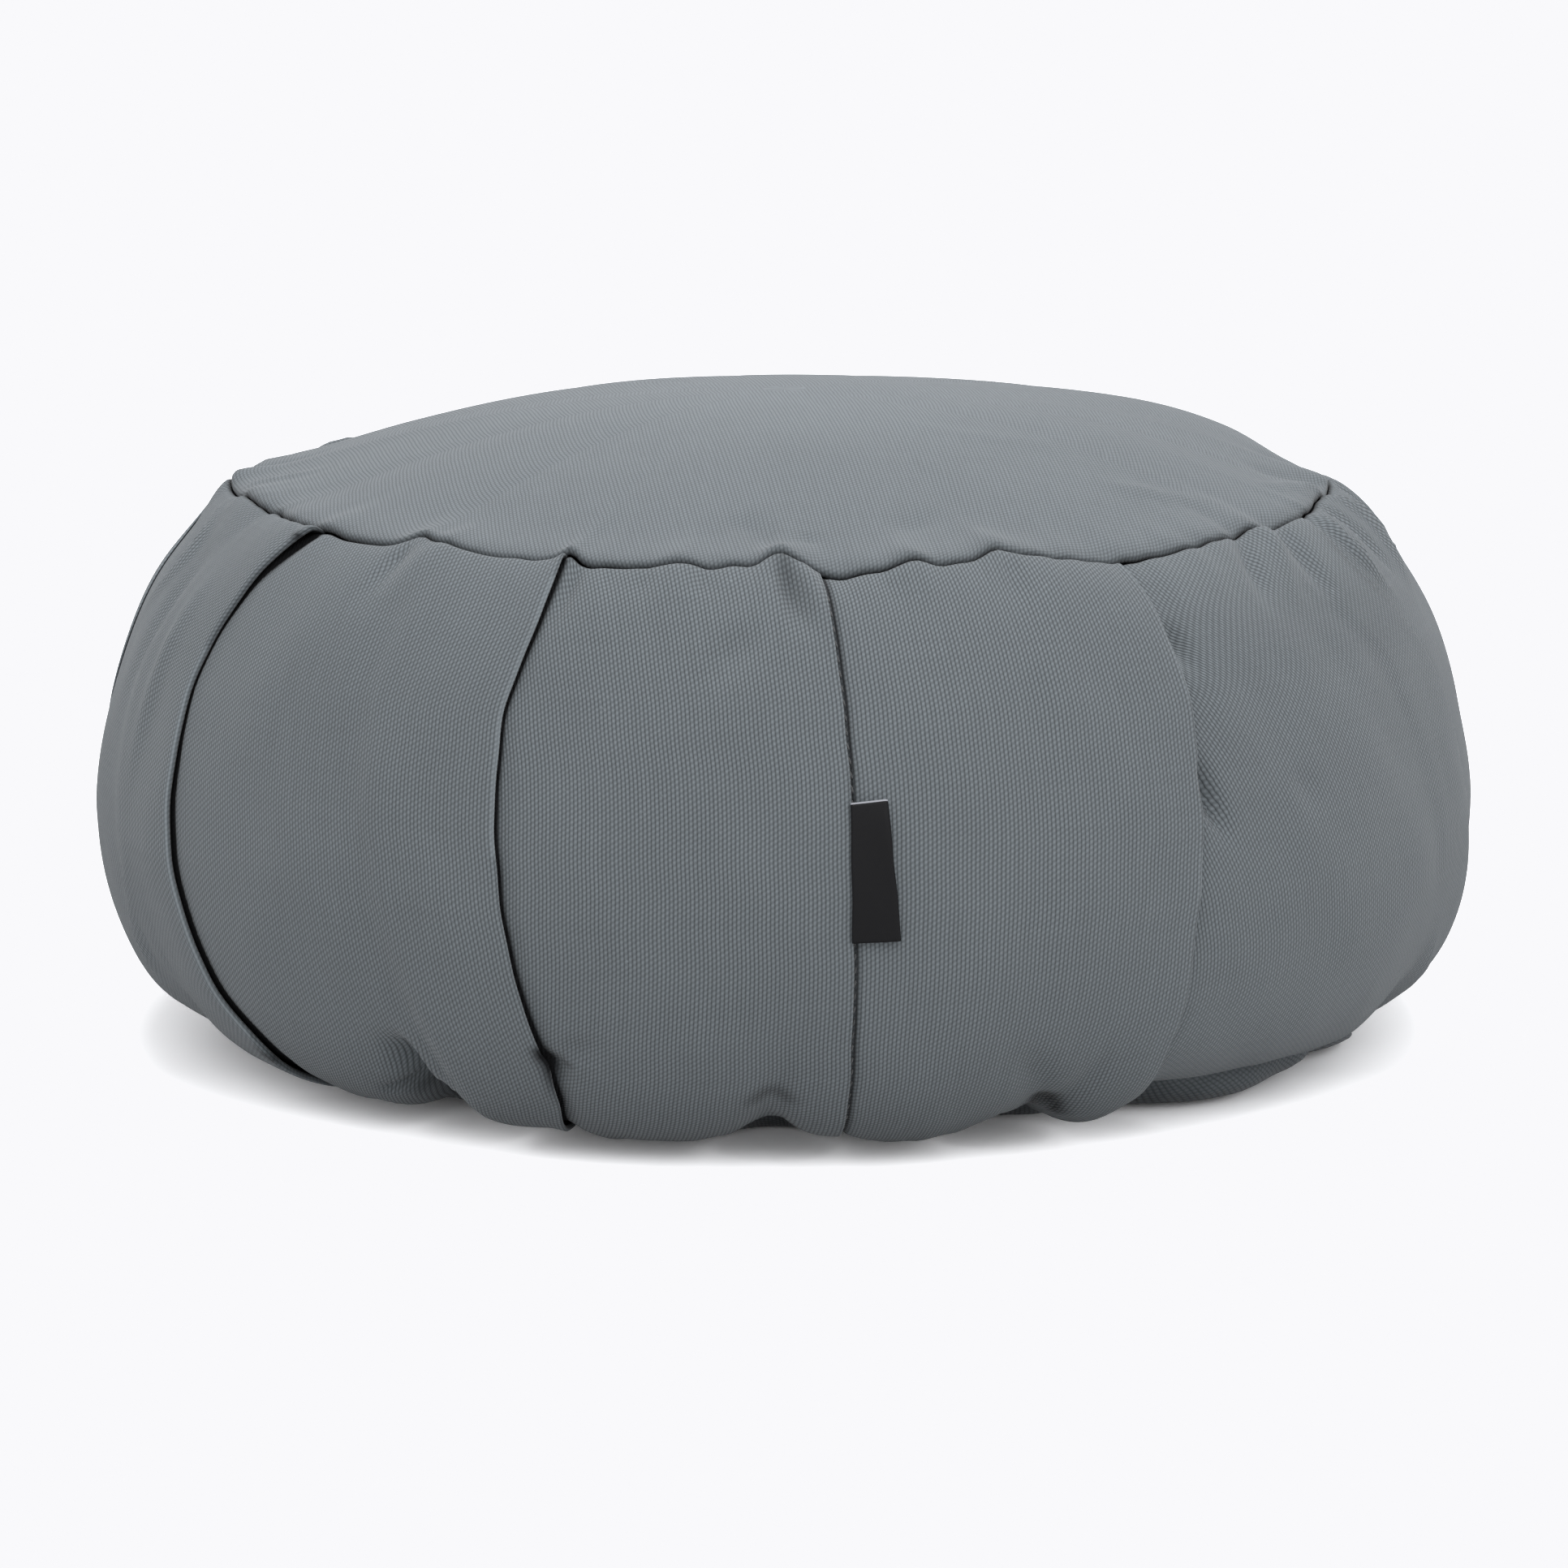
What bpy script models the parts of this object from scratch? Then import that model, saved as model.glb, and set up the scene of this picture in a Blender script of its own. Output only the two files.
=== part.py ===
"""Zafu: a round sitting cushion with a pleated side band between two round panels.

Metres, +Z up, standing on z = 0, with the front of the cushion towards -Y. Places round the
cushion are angles in degrees from the front, anticlockwise as seen from above.
"""

import math
from collections import namedtuple

import bmesh
import bpy
import numpy as np
from mathutils import Matrix, Vector

MM = 0.001

# Driving sizes
WAIST_RADIUS = 165.6 * MM
WAIST_HEIGHT = 59.3 * MM
TOP_SEAM_RADIUS = 129.4 * MM
TOP_SEAM_HEIGHT = 133.9 * MM
CROWN_HEIGHT = 156.2 * MM
BOTTOM_SEAM_RADIUS = 123.5 * MM
BOTTOM_SEAM_HEIGHT = 7.2 * MM
PANEL_CLOTH = 2.0 * MM
TAB_CLOTH = 1.2 * MM
CLEARANCE = 0.4 * MM
EDGE_CLEARANCE = 0.6 * MM

# Roundness of the two halves of the side and of the crown, as superellipse exponents
UPPER_SIDE_EXPONENT = 1.57
LOWER_SIDE_EXPONENT = 2.15
CROWN_EXPONENT = 2.2

# The seams are pinched in and up behind each fold, where its inner layer ends, and they
# sag down and out between these pinches
TOP_SEAM_SAG = 1.6 * MM
TOP_SEAM_SWELL = 2.0 * MM
BOTTOM_SEAM_SAG = 3.8 * MM
BOTTOM_SEAM_SWELL = 5.6 * MM
SAG_FADE = 4.0
SAG_ROUNDNESS = 0.7

# The panels sit in shallow recesses of the band's filled form
RIM_WIDTH = 1.2 * MM
RIM_DROP = 0.5 * MM
BOTTOM_ROLL_WIDTH = 11.0 * MM

# Folds: the open slot under each folded edge, and how fast it closes towards the seams
SLOT_GAP = 0.8 * MM
SLOT_CLOSE_SHARE = 0.10
MOUTH_WIDTH = 1.5 * MM
NOSE_RADIUS = 1.2 * MM
ROLL_WIDTH = 5.0 * MM
STITCHED_STEP = 0.8 * MM

# Where the fold lines are given, as shares of the slant height from the bottom seam
FOLD_STATIONS = (0.0, 0.2, 0.45, 0.72, 1.0)

# One row for each folded edge: its angle at each station, how far behind it the seams are
# pinched (degrees), how far the slot under it reaches back, how proud it stands of the next
# panel and how thick the folded layers are (mm).
Fold = namedtuple("Fold", "name foot lower middle upper top tuck lap lip thick")
FOLDS = (
    Fold("far_left", -83.0, -84.5, -85.5, -85.0, -77.0, 11.0, 8.0, 2.2, 2.2),
    Fold("left", -52.5, -52.0, -56.8, -58.2, -53.0, 12.0, 10.0, 3.4, 2.6),
    Fold("front_left", -19.0, -19.2, -20.5, -22.8, -21.2, 14.0, 10.0, 2.8, 2.4),
    Fold("join_seam", 5.0, 5.2, 5.2, 5.0, 3.5, 5.0, 4.0, 0.8, 1.2),
    Fold("front_right", 33.5, 32.8, 33.3, 34.8, 34.0, 13.0, 8.0, 2.0, 2.2),
    Fold("right", 77.0, 75.5, 74.0, 72.0, 64.0, 9.0, 9.0, 2.6, 2.4),
    Fold("back_right", 108.0, 107.0, 105.5, 104.5, 101.0, 12.0, 8.0, 2.2, 2.2),
    Fold("back_1", 140.0, 141.5, 142.5, 143.0, 140.5, 13.0, 9.0, 2.6, 2.4),
    Fold("back_2", 175.5, 174.0, 173.0, 172.0, 172.5, 11.0, 8.0, 2.2, 2.2),
    Fold("back_3", 206.5, 208.5, 209.5, 210.0, 206.0, 12.0, 9.0, 2.8, 2.4),
    Fold("back_left", 243.0, 242.0, 240.5, 239.0, 241.0, 14.0, 8.0, 2.4, 2.2),
)

# Places where the filling pushes the side out: middle, spread and depth
Bulge = namedtuple("Bulge", "angle share angle_spread share_spread depth")
BULGES = (
    Bulge(84.0, 0.34, 30.0, 0.13, 2.4 * MM),
    Bulge(-150.0, 0.60, 40.0, 0.30, 1.2 * MM),
)
CROWN_SWELL_ANGLE = 112.0
CROWN_SWELL_DEPTH = 3.6 * MM

# The ribbon tab in the join seam
TAB_BOTTOM = 57.5 * MM
TAB_TOP = 87.0 * MM
TAB_OUT_TOP = 9.4 * MM
TAB_OUT_BOTTOM = 10.6 * MM
TAB_ROOT_GAP = 0.3 * MM
TAB_STAND_OFF = -0.2 * MM
TAB_LIFT = 1.0 * MM

# Mesh rows
BAND_ROWS = (0.0, 0.025, 0.06, 0.11, 0.17, 0.24, 0.31, 0.38, 0.45, 0.52,
             0.59, 0.66, 0.73, 0.80, 0.86, 0.91, 0.95, 0.98, 1.0)
PANEL_COLUMNS = (0.14, 0.38, 0.62, 0.86)
CROWN_ROWS = (0.86, 0.6, 0.3)
BOTTOM_INNER_PART = 0.5
PROFILE_SAMPLES = 400
TAB_ROWS = 6
TAB_COLUMNS = 3

CANVAS_COLOR = (0.125, 0.145, 0.160, 1.0)
RIBBON_COLOR = (0.012, 0.012, 0.014, 1.0)


def smooth(x):
    """Ease from 0 to 1."""
    x = min(max(x, 0.0), 1.0)
    return x * x * (3.0 - 2.0 * x)


def curve_through(stations, values, share):
    """A smooth curve through the values, read at a share between the first and last station."""
    slopes = np.gradient(values, stations)
    last = len(stations) - 2
    i = min(max(int(np.searchsorted(stations, share)) - 1, 0), last)
    span = stations[i + 1] - stations[i]
    x = (share - stations[i]) / span
    ends = values[i] * (1 + 2 * x) * (1 - x) ** 2 + values[i + 1] * x * x * (3 - 2 * x)
    turns = slopes[i] * x * (1 - x) ** 2 - slopes[i + 1] * x * x * (1 - x)
    return ends + turns * span


def side_profile():
    """Radius and height of the side from the bottom seam to the top seam, evenly spaced."""
    half = np.linspace(0.0, math.pi / 2, PROFILE_SAMPLES)
    low_power = 2.0 / LOWER_SIDE_EXPONENT
    high_power = 2.0 / UPPER_SIDE_EXPONENT
    cos_half = np.clip(np.cos(half), 0.0, 1.0)
    sin_half = np.sin(half)
    low_r = BOTTOM_SEAM_RADIUS + (WAIST_RADIUS - BOTTOM_SEAM_RADIUS) * cos_half ** low_power
    low_z = WAIST_HEIGHT + (BOTTOM_SEAM_HEIGHT - WAIST_HEIGHT) * sin_half ** low_power
    high_r = TOP_SEAM_RADIUS + (WAIST_RADIUS - TOP_SEAM_RADIUS) * cos_half ** high_power
    high_z = WAIST_HEIGHT + (TOP_SEAM_HEIGHT - WAIST_HEIGHT) * sin_half ** high_power
    radius = np.concatenate((low_r[::-1], high_r[1:]))
    height = np.concatenate((low_z[::-1], high_z[1:]))
    steps = np.hypot(np.diff(radius), np.diff(height))
    length = np.concatenate(([0.0], np.cumsum(steps)))
    even = np.linspace(0.0, length[-1], PROFILE_SAMPLES)
    return np.interp(even, length, radius), np.interp(even, length, height)


PROFILE_R, PROFILE_Z = side_profile()
PROFILE_SHARE = np.linspace(0.0, 1.0, PROFILE_SAMPLES)
NORMAL_R = np.gradient(PROFILE_Z)
NORMAL_Z = -np.gradient(PROFILE_R)


def profile_at(share):
    """Radius, height and outward normal of the plain side at a share of its slant height."""
    radius = np.interp(share, PROFILE_SHARE, PROFILE_R)
    height = np.interp(share, PROFILE_SHARE, PROFILE_Z)
    across = np.interp(share, PROFILE_SHARE, NORMAL_R)
    up = np.interp(share, PROFILE_SHARE, NORMAL_Z)
    size = math.hypot(across, up)
    return radius, height, across / size, up / size


def around(angle, middle):
    """Signed turn from the middle to the angle, in degrees from -180 to 180."""
    return (angle - middle + 180.0) % 360.0 - 180.0


def bump(distance, spread):
    """A soft hill, 1 in its middle."""
    return math.exp(-(distance / spread) ** 2)


def swell(angle, share):
    """How far the filling pushes the side out here, beyond the turned shape."""
    total = 0.0
    for bulge in BULGES:
        side = bump(around(angle, bulge.angle), bulge.angle_spread)
        total += bulge.depth * side * bump(share - bulge.share, bulge.share_spread)
    return total


def fold_angle(fold, share):
    """Where a folded edge runs at a share of the slant height."""
    values = (fold.foot, fold.lower, fold.middle, fold.upper, fold.top)
    return float(curve_through(FOLD_STATIONS, values, share))


def seam_sag(angle, share):
    """How far the seams sag here: 0 at the pinches behind the folds, 1 half way between."""
    pinches = [fold_angle(fold, round(share)) - fold.tuck for fold in FOLDS]
    behind = min((angle - pinch) % 360.0 for pinch in pinches)
    ahead = min((pinch - angle) % 360.0 for pinch in pinches)
    return math.sin(math.pi * behind / (behind + ahead)) ** SAG_ROUNDNESS


def side_point(angle, share, proud):
    """A point of the side at a height above the plain surface, with what swells and sags."""
    radius, height, out_r, out_z = profile_at(share)
    above = proud + swell(angle, share)
    sag = seam_sag(angle, share)
    near_top = share ** SAG_FADE * sag
    near_bottom = (1.0 - share) ** SAG_FADE * sag
    radius += above * out_r + TOP_SEAM_SWELL * near_top + BOTTOM_SEAM_SWELL * near_bottom
    height += above * out_z - TOP_SEAM_SAG * near_top - BOTTOM_SEAM_SAG * near_bottom
    return radius, height


def fold_section(fold, share):
    """Seven (distance from the edge, height) pairs round one folded edge and its slot.

    Half way up, the cloth runs out over the next panel, turns back round the nose, goes in
    under itself to the slot's end and comes out again. At both seams it is stitched flat.
    """
    lip = fold.lip * MM
    under = lip - fold.thick * MM
    lap = fold.lap * MM
    floor = min(under, 0.0) - SLOT_GAP
    open_shape = (
        (-ROLL_WIDTH, lip),
        (-NOSE_RADIUS, lip),
        (0.0, (lip + under) / 2),
        (-NOSE_RADIUS, under),
        (-lap, under - SLOT_GAP / 2),
        (-lap, floor - SLOT_GAP),
        (MOUTH_WIDTH, floor),
    )
    nearest_seam = min(share, 1.0 - share)
    opened = smooth(nearest_seam / SLOT_CLOSE_SHARE)
    section = []
    for i, (distance, height) in enumerate(open_shape):
        flat = (i - 3) * STITCHED_STEP
        section.append((flat + (distance - flat) * opened, height * opened))
    return section


def band_ring(share):
    """Points once round the band at a share of its slant height, as (angle, radius, height)."""
    points = []
    degrees_each = math.degrees(1.0 / profile_at(share)[0])
    for i, fold in enumerate(FOLDS):
        edge = fold_angle(fold, share)
        section = fold_section(fold, share)
        for distance, proud in section:
            angle = edge + distance * degrees_each
            points.append((angle, *side_point(angle, share, proud)))

        wrapped = i == len(FOLDS) - 1
        next_fold = FOLDS[0] if wrapped else FOLDS[i + 1]
        next_section = fold_section(next_fold, share)
        start = edge + section[-1][0] * degrees_each
        next_edge = fold_angle(next_fold, share) + (360.0 if wrapped else 0.0)
        end = next_edge + next_section[0][0] * degrees_each
        for across in PANEL_COLUMNS:
            angle = start + (end - start) * across
            low, high = section[-1][1], next_section[0][1]
            proud = low + (high - low) * smooth(across)
            points.append((angle, *side_point(angle, share, proud)))
    return points


def crown_height(angle, radius, seam_radius, seam_height):
    """Height of the top panel's upper face."""
    part = radius / seam_radius
    rise = (CROWN_HEIGHT - seam_height) * (1.0 - part ** CROWN_EXPONENT)
    turn = math.radians(around(angle, CROWN_SWELL_ANGLE))
    ring = math.sin(math.pi * part ** 2) if part < 1.0 else 0.0
    return seam_height + rise + CROWN_SWELL_DEPTH * ring * max(math.cos(turn), 0.0)


def place(angle, radius, height):
    """A point from its angle round the cushion, its distance from the axis and its height."""
    turn = math.radians(angle)
    return Vector((radius * math.sin(turn), -radius * math.cos(turn), height))


def rings_to_body(name, rings, start_height, end_height, material):
    """Join rings of (angle, radius, height) points in turn, closed by a point at each end."""
    mesh_maker = bmesh.new()
    rows = []
    for ring in rings:
        rows.append([mesh_maker.verts.new(place(*point)) for point in ring])
    for row, next_row in zip(rows, rows[1:]):
        for i in range(len(row)):
            j = (i + 1) % len(row)
            mesh_maker.faces.new((row[i], row[j], next_row[j], next_row[i]))
    for row, height in ((rows[0], start_height), (rows[-1], end_height)):
        pole = mesh_maker.verts.new((0.0, 0.0, height))
        for i in range(len(row)):
            j = (i + 1) % len(row)
            mesh_maker.faces.new((row[i], row[j], pole))
    return finish_body(name, mesh_maker, material)


def finish_body(name, mesh_maker, material):
    """Make an object of the mesh, in triangles that face outwards."""
    bmesh.ops.triangulate(mesh_maker, faces=mesh_maker.faces[:])
    bmesh.ops.recalc_face_normals(mesh_maker, faces=mesh_maker.faces[:])
    mesh = bpy.data.meshes.new(name)
    mesh_maker.to_mesh(mesh)
    mesh_maker.free()
    mesh.materials.append(material)
    mesh.shade_smooth()
    mesh.set_sharp_from_angle(angle=math.radians(50.0))
    body = bpy.data.objects.new(name, mesh)
    bpy.context.collection.objects.link(body)
    return body


def top_panel_rings(seam_ring):
    """Rings of the top panel's upper face, from inside to its edge, and back along the underside."""
    edge_inset = RIM_WIDTH + EDGE_CLEARANCE
    upper = []
    for part in reversed(CROWN_ROWS):
        upper.append([(a, r * part, crown_height(a, r * part, r, z)) for a, r, z in seam_ring])
    upper.append([(a, r - edge_inset, crown_height(a, r - edge_inset, r, z))
                  for a, r, z in seam_ring])
    lower = [[(a, r, z - PANEL_CLOTH) for a, r, z in ring] for ring in reversed(upper)]
    return upper + lower


def recess_rings_top(seam_ring):
    """Rings from the band's top edge over its rim and across under the top panel."""
    under = PANEL_CLOTH + CLEARANCE
    rings = [[(a, r - RIM_WIDTH, z - RIM_DROP) for a, r, z in seam_ring]]
    rings.append([(a, r - RIM_WIDTH, z - under) for a, r, z in seam_ring])
    for part in CROWN_ROWS:
        ring = []
        for a, r, z in seam_ring:
            ring.append((a, r * part, crown_height(a, r * part, r, z) - under))
        rings.append(ring)
    return rings


def bottom_panel_rings(seam_ring):
    """Rings of the bottom panel: along its flat face, up its rolled rim, and back on top."""
    edge_inset = RIM_WIDTH + EDGE_CLEARANCE
    climbed = (BOTTOM_ROLL_WIDTH - edge_inset) / (BOTTOM_ROLL_WIDTH - RIM_WIDTH)
    lower = [
        [(a, r * BOTTOM_INNER_PART, 0.0) for a, r, _ in seam_ring],
        [(a, r - BOTTOM_ROLL_WIDTH, 0.0) for a, r, _ in seam_ring],
        [(a, r - edge_inset, z * climbed) for a, r, z in seam_ring],
    ]
    upper = [[(a, r, z + PANEL_CLOTH) for a, r, z in ring] for ring in reversed(lower)]
    return lower + upper


def recess_rings_bottom(seam_ring):
    """Rings from the middle under the band out to its bottom edge, over the bottom panel."""
    over = PANEL_CLOTH + CLEARANCE
    return [
        [(a, r * BOTTOM_INNER_PART, over) for a, r, _ in seam_ring],
        [(a, r - BOTTOM_ROLL_WIDTH, over) for a, r, _ in seam_ring],
        [(a, r - RIM_WIDTH, z + over) for a, r, z in seam_ring],
        [(a, r - RIM_WIDTH, z + RIM_DROP) for a, r, z in seam_ring],
    ]


def share_at_height(height):
    """The share of the slant height at which the plain side has this height."""
    return float(np.interp(height, PROFILE_Z, PROFILE_SHARE))


def make_tab(material):
    """The folded ribbon: a thin leaf that lies on the panel beside the join seam."""
    seam = next(fold for fold in FOLDS if fold.name == "join_seam")
    mesh_maker = bmesh.new()
    layers = []
    for thickness in (0.0, TAB_CLOTH):
        rows = []
        for i in range(TAB_ROWS + 1):
            up = i / TAB_ROWS
            height = TAB_BOTTOM + (TAB_TOP - TAB_BOTTOM) * up
            share = share_at_height(height)
            out = TAB_OUT_BOTTOM + (TAB_OUT_TOP - TAB_OUT_BOTTOM) * up
            degrees_each = math.degrees(1.0 / profile_at(share)[0])
            row = []
            for j in range(TAB_COLUMNS + 1):
                along = j / TAB_COLUMNS
                distance = TAB_ROOT_GAP + (out - TAB_ROOT_GAP) * along
                angle = fold_angle(seam, share) + distance * degrees_each
                proud = TAB_STAND_OFF + TAB_LIFT * along ** 2 + thickness
                radius, level = side_point(angle, share, proud)
                row.append(mesh_maker.verts.new(place(angle, radius, level)))
            rows.append(row)
        layers.append(rows)
    inner, outer = layers
    for i in range(TAB_ROWS):
        for j in range(TAB_COLUMNS):
            for rows in layers:
                mesh_maker.faces.new((rows[i][j], rows[i][j + 1], rows[i + 1][j + 1], rows[i + 1][j]))
        for j in (0, TAB_COLUMNS):
            mesh_maker.faces.new((inner[i][j], inner[i + 1][j], outer[i + 1][j], outer[i][j]))
    for i in (0, TAB_ROWS):
        for j in range(TAB_COLUMNS):
            mesh_maker.faces.new((inner[i][j], inner[i][j + 1], outer[i][j + 1], outer[i][j]))
    return finish_body("side_tab", mesh_maker, material)


def make_material(name, color, roughness):
    """A plain cloth material."""
    material = bpy.data.materials.new(name)
    material.use_nodes = True
    shader = material.node_tree.nodes["Principled BSDF"]
    shader.inputs["Base Color"].default_value = color
    shader.inputs["Roughness"].default_value = roughness
    shader.inputs["Metallic"].default_value = 0.0
    return material


def centre_on_origin(bodies):
    """Move all pieces together until the middle of their box is over the origin."""
    corners = [vertex.co for body in bodies for vertex in body.data.vertices]
    xs = [corner.x for corner in corners]
    ys = [corner.y for corner in corners]
    middle = Vector(((min(xs) + max(xs)) / 2, (min(ys) + max(ys)) / 2, 0.0))
    for body in bodies:
        body.data.transform(Matrix.Translation(-middle))


def main():
    for old in list(bpy.data.objects):
        bpy.data.objects.remove(old)
    canvas = make_material("canvas", CANVAS_COLOR, 0.9)
    ribbon = make_material("ribbon", RIBBON_COLOR, 0.5)

    side_rings = [band_ring(share) for share in BAND_ROWS]
    bottom_seam = side_rings[0]
    top_seam = side_rings[-1]
    over_bottom = PANEL_CLOTH + CLEARANCE
    band_rings = recess_rings_bottom(bottom_seam) + side_rings + recess_rings_top(top_seam)
    bodies = [
        rings_to_body("side_band", band_rings, over_bottom, CROWN_HEIGHT - over_bottom, canvas),
        rings_to_body("top_panel", top_panel_rings(top_seam),
                      CROWN_HEIGHT, CROWN_HEIGHT - PANEL_CLOTH, canvas),
        rings_to_body("bottom_panel", bottom_panel_rings(bottom_seam), 0.0, PANEL_CLOTH, canvas),
        make_tab(ribbon),
    ]
    centre_on_origin(bodies)


main()
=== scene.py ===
"""Zafu: the look of the round pleated sitting cushion.

Metres, +Z up, standing on z = 0, with the front of the cushion towards -Y. Places round the
cushion are angles in degrees from the front, anticlockwise as seen from above. Heights on the
side are shares of its slant height, from the bottom seam at 0 to the top seam at 1.
"""

import math
from collections import namedtuple

import bmesh
import bpy
import numpy as np
from mathutils import Matrix, Vector


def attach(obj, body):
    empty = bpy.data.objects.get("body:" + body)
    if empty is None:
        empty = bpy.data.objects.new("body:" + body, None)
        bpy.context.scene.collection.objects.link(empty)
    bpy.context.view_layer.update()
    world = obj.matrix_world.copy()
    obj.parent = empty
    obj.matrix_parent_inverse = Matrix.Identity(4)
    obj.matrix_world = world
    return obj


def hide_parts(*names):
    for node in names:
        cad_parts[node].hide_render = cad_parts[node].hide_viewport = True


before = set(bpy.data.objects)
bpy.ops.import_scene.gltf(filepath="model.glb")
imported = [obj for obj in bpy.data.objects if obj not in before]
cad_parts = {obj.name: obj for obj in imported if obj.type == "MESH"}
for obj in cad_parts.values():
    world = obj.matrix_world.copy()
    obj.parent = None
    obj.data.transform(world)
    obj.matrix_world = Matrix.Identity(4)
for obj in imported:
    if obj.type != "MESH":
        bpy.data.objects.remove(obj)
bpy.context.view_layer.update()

MM = 0.001


def rows_of(kind, rows):
    """The rows of a table as records of one kind."""
    return [kind(*row) for row in rows]


# The turned shape of the side, as in the part
WAIST_RADIUS = 165.6 * MM
WAIST_HEIGHT = 59.3 * MM
TOP_SEAM_RADIUS = 129.4 * MM
TOP_SEAM_HEIGHT = 133.9 * MM
CROWN_HEIGHT = 156.2 * MM
BOTTOM_SEAM_RADIUS = 123.5 * MM
BOTTOM_SEAM_HEIGHT = 7.2 * MM
UPPER_SIDE_EXPONENT = 1.57
LOWER_SIDE_EXPONENT = 2.15
CROWN_EXPONENT = 2.2
MIDDLE_SHIFT = (0.05 * MM, -0.40 * MM)
PROFILE_SAMPLES = 400

# How the seams sag between the pinches behind the folds
TOP_SEAM_SAG = 1.6 * MM
TOP_SEAM_SWELL = 2.0 * MM
BOTTOM_SEAM_SAG = 3.8 * MM
BOTTOM_SEAM_SWELL = 5.6 * MM
SAG_FADE = 4.0
SAG_ROUNDNESS = 0.7

# Folds: one row each, in the order round the cushion. The edge's angle is given at the
# stations. Mouth is the gap under the folded edge, dip how far the next panel sinks there,
# step the ridge over the tuck and its width; each is read at its own stations (mm).
FOLD_STATIONS = (0.0, 0.2, 0.45, 0.72, 1.0)
FINE_STATIONS = (0.0, 0.1, 0.2, 0.3, 0.45, 0.6, 0.75, 0.9, 1.0)
LIP_STATIONS = (0.05, 0.2, 0.5, 0.9, 0.965)
TUCK_STATIONS = (0.1, 0.5, 0.95)
Fold = namedtuple("Fold", "name edge tuck thick lap emerge mouth dip step step_width")
FOLDS = rows_of(Fold, (
    ("far_left", (-93.0, -94.0, -91.0, -84.5, -94.0), (11.0, 8.0, 4.0), 0.5, 8.0, 6.0,
     (0.1, 0.1, 0.1, 0.1, 0.1), (0.3, 0.3, 0.1, 0.0, 0.1), (0.5, 0.4, 0.3), 9.0),
    ("left", (-50.5, -50.0, -49.6, -52.9, -56.7, -58.4, -59.1, -56.0, -53.0),
     (12.0, 12.0, 12.0), 1.6, 10.0, 5.0,
     (1.5, 1.2, 1.0, 1.0, 2.0), (0.9, 0.7, 0.2, 0.3, 1.0), (1.2, 1.0, 0.9), 9.0),
    ("front_left", (-21.6, -20.0, -18.9, -19.5, -21.35, -22.7, -23.1, -21.7, -21.4),
     (8.8, 11.2, 14.0), 1.3, 9.0, 5.0,
     (1.2, 1.3, 1.0, 1.0, 1.2), (1.2, 1.1, 0.7, 0.7, 0.9), (3.2, 1.4, 1.2), 6.0),
    ("join_seam", (5.0, 5.2, 5.2, 5.0, 3.5), (5.0, 5.0, 5.0), 0.9, 1.4, 2.4,
     (0.8, 0.8, 0.8, 0.8, 0.8), (1.0, 1.0, 1.0, 1.0, 1.0), (0.0, 0.0, 0.0), 9.0),
    ("front_right", (33.2, 32.3, 31.9, 32.3, 33.2, 34.4, 35.1, 34.6, 34.0),
     (13.0, 13.0, 13.0), 1.4, 8.0, 10.0,
     (0.6, 0.6, 0.7, 0.6, 0.6), (0.1, 0.1, 0.6, 0.9, 0.9), (0.8, 0.7, 0.6), 9.0),
    ("right", (78.0, 78.0, 78.0, 77.5, 76.2, 74.0, 71.0, 64.0, 64.0), (9.0, 9.0, 9.0),
     1.7, 8.0, 6.0,
     (0.6, 0.6, 1.0, 1.3, 1.0), (0.2, 0.3, 0.5, 0.6, 0.3), (0.8, 0.8, 0.9), 8.0),
    ("back_right", (108.0, 107.0, 105.5, 104.5, 101.0), (12.0, 12.0, 12.0), 1.6, 8.0, 6.0,
     (1.6, 1.2, 0.8, 1.0, 1.6), (0.6, 0.5, 0.2, 0.3, 0.6), (1.6, 1.0, 0.9), 8.0),
    ("back_1", (140.0, 141.5, 142.5, 143.0, 140.5), (13.0, 13.0, 13.0), 1.7, 9.0, 6.0,
     (2.2, 1.8, 1.0, 1.1, 2.0), (0.7, 0.6, 0.2, 0.3, 0.7), (2.2, 1.0, 0.9), 7.0),
    ("back_2", (175.5, 174.0, 173.0, 172.0, 172.5), (11.0, 11.0, 11.0), 1.5, 8.0, 6.0,
     (1.4, 1.1, 0.7, 0.9, 1.4), (0.5, 0.4, 0.2, 0.3, 0.5), (1.4, 0.9, 0.8), 8.0),
    ("back_3", (206.5, 208.5, 209.5, 210.0, 206.0), (12.0, 12.0, 12.0), 1.7, 9.0, 6.0,
     (2.2, 1.8, 1.0, 1.2, 2.2), (0.7, 0.6, 0.1, 0.3, 0.8), (2.4, 1.1, 0.9), 7.0),
    ("back_left", (243.0, 242.0, 240.5, 239.0, 241.0), (14.0, 14.0, 14.0), 1.5, 8.0, 6.0,
     (1.6, 1.3, 0.8, 0.9, 1.4), (0.6, 0.5, 0.2, 0.3, 0.5), (1.8, 1.0, 0.8), 8.0),
))
JOIN_SEAM = 3
ROLL_ON_WIDTH = 24.0 * MM
PANEL_FULLNESS = 0.9 * MM
# Every panel's cloth starts at its own place in the weave
GRAIN_STEP = 0.137
GRAIN_ORDER = 5
SLOT_END_GAP = 0.35 * MM

# Unevenness of a folded edge: waves up the side and their turn for each mm of thickness
EDGE_WAVES = ((9.0, 0.035), (15.0, 0.03), (23.0, 0.02))

# A fold is stitched flat at the seams
STITCHED_REACH = 2.6 * MM
STITCHED_LIP = 0.9 * MM
STITCHED_THICK = 0.8 * MM
STITCHED_MOUTH = 0.12 * MM
STITCHED_LAP = 1.8 * MM
LEAST_LIP = 0.4 * MM
LEAST_MOUTH = 0.1 * MM

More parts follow.
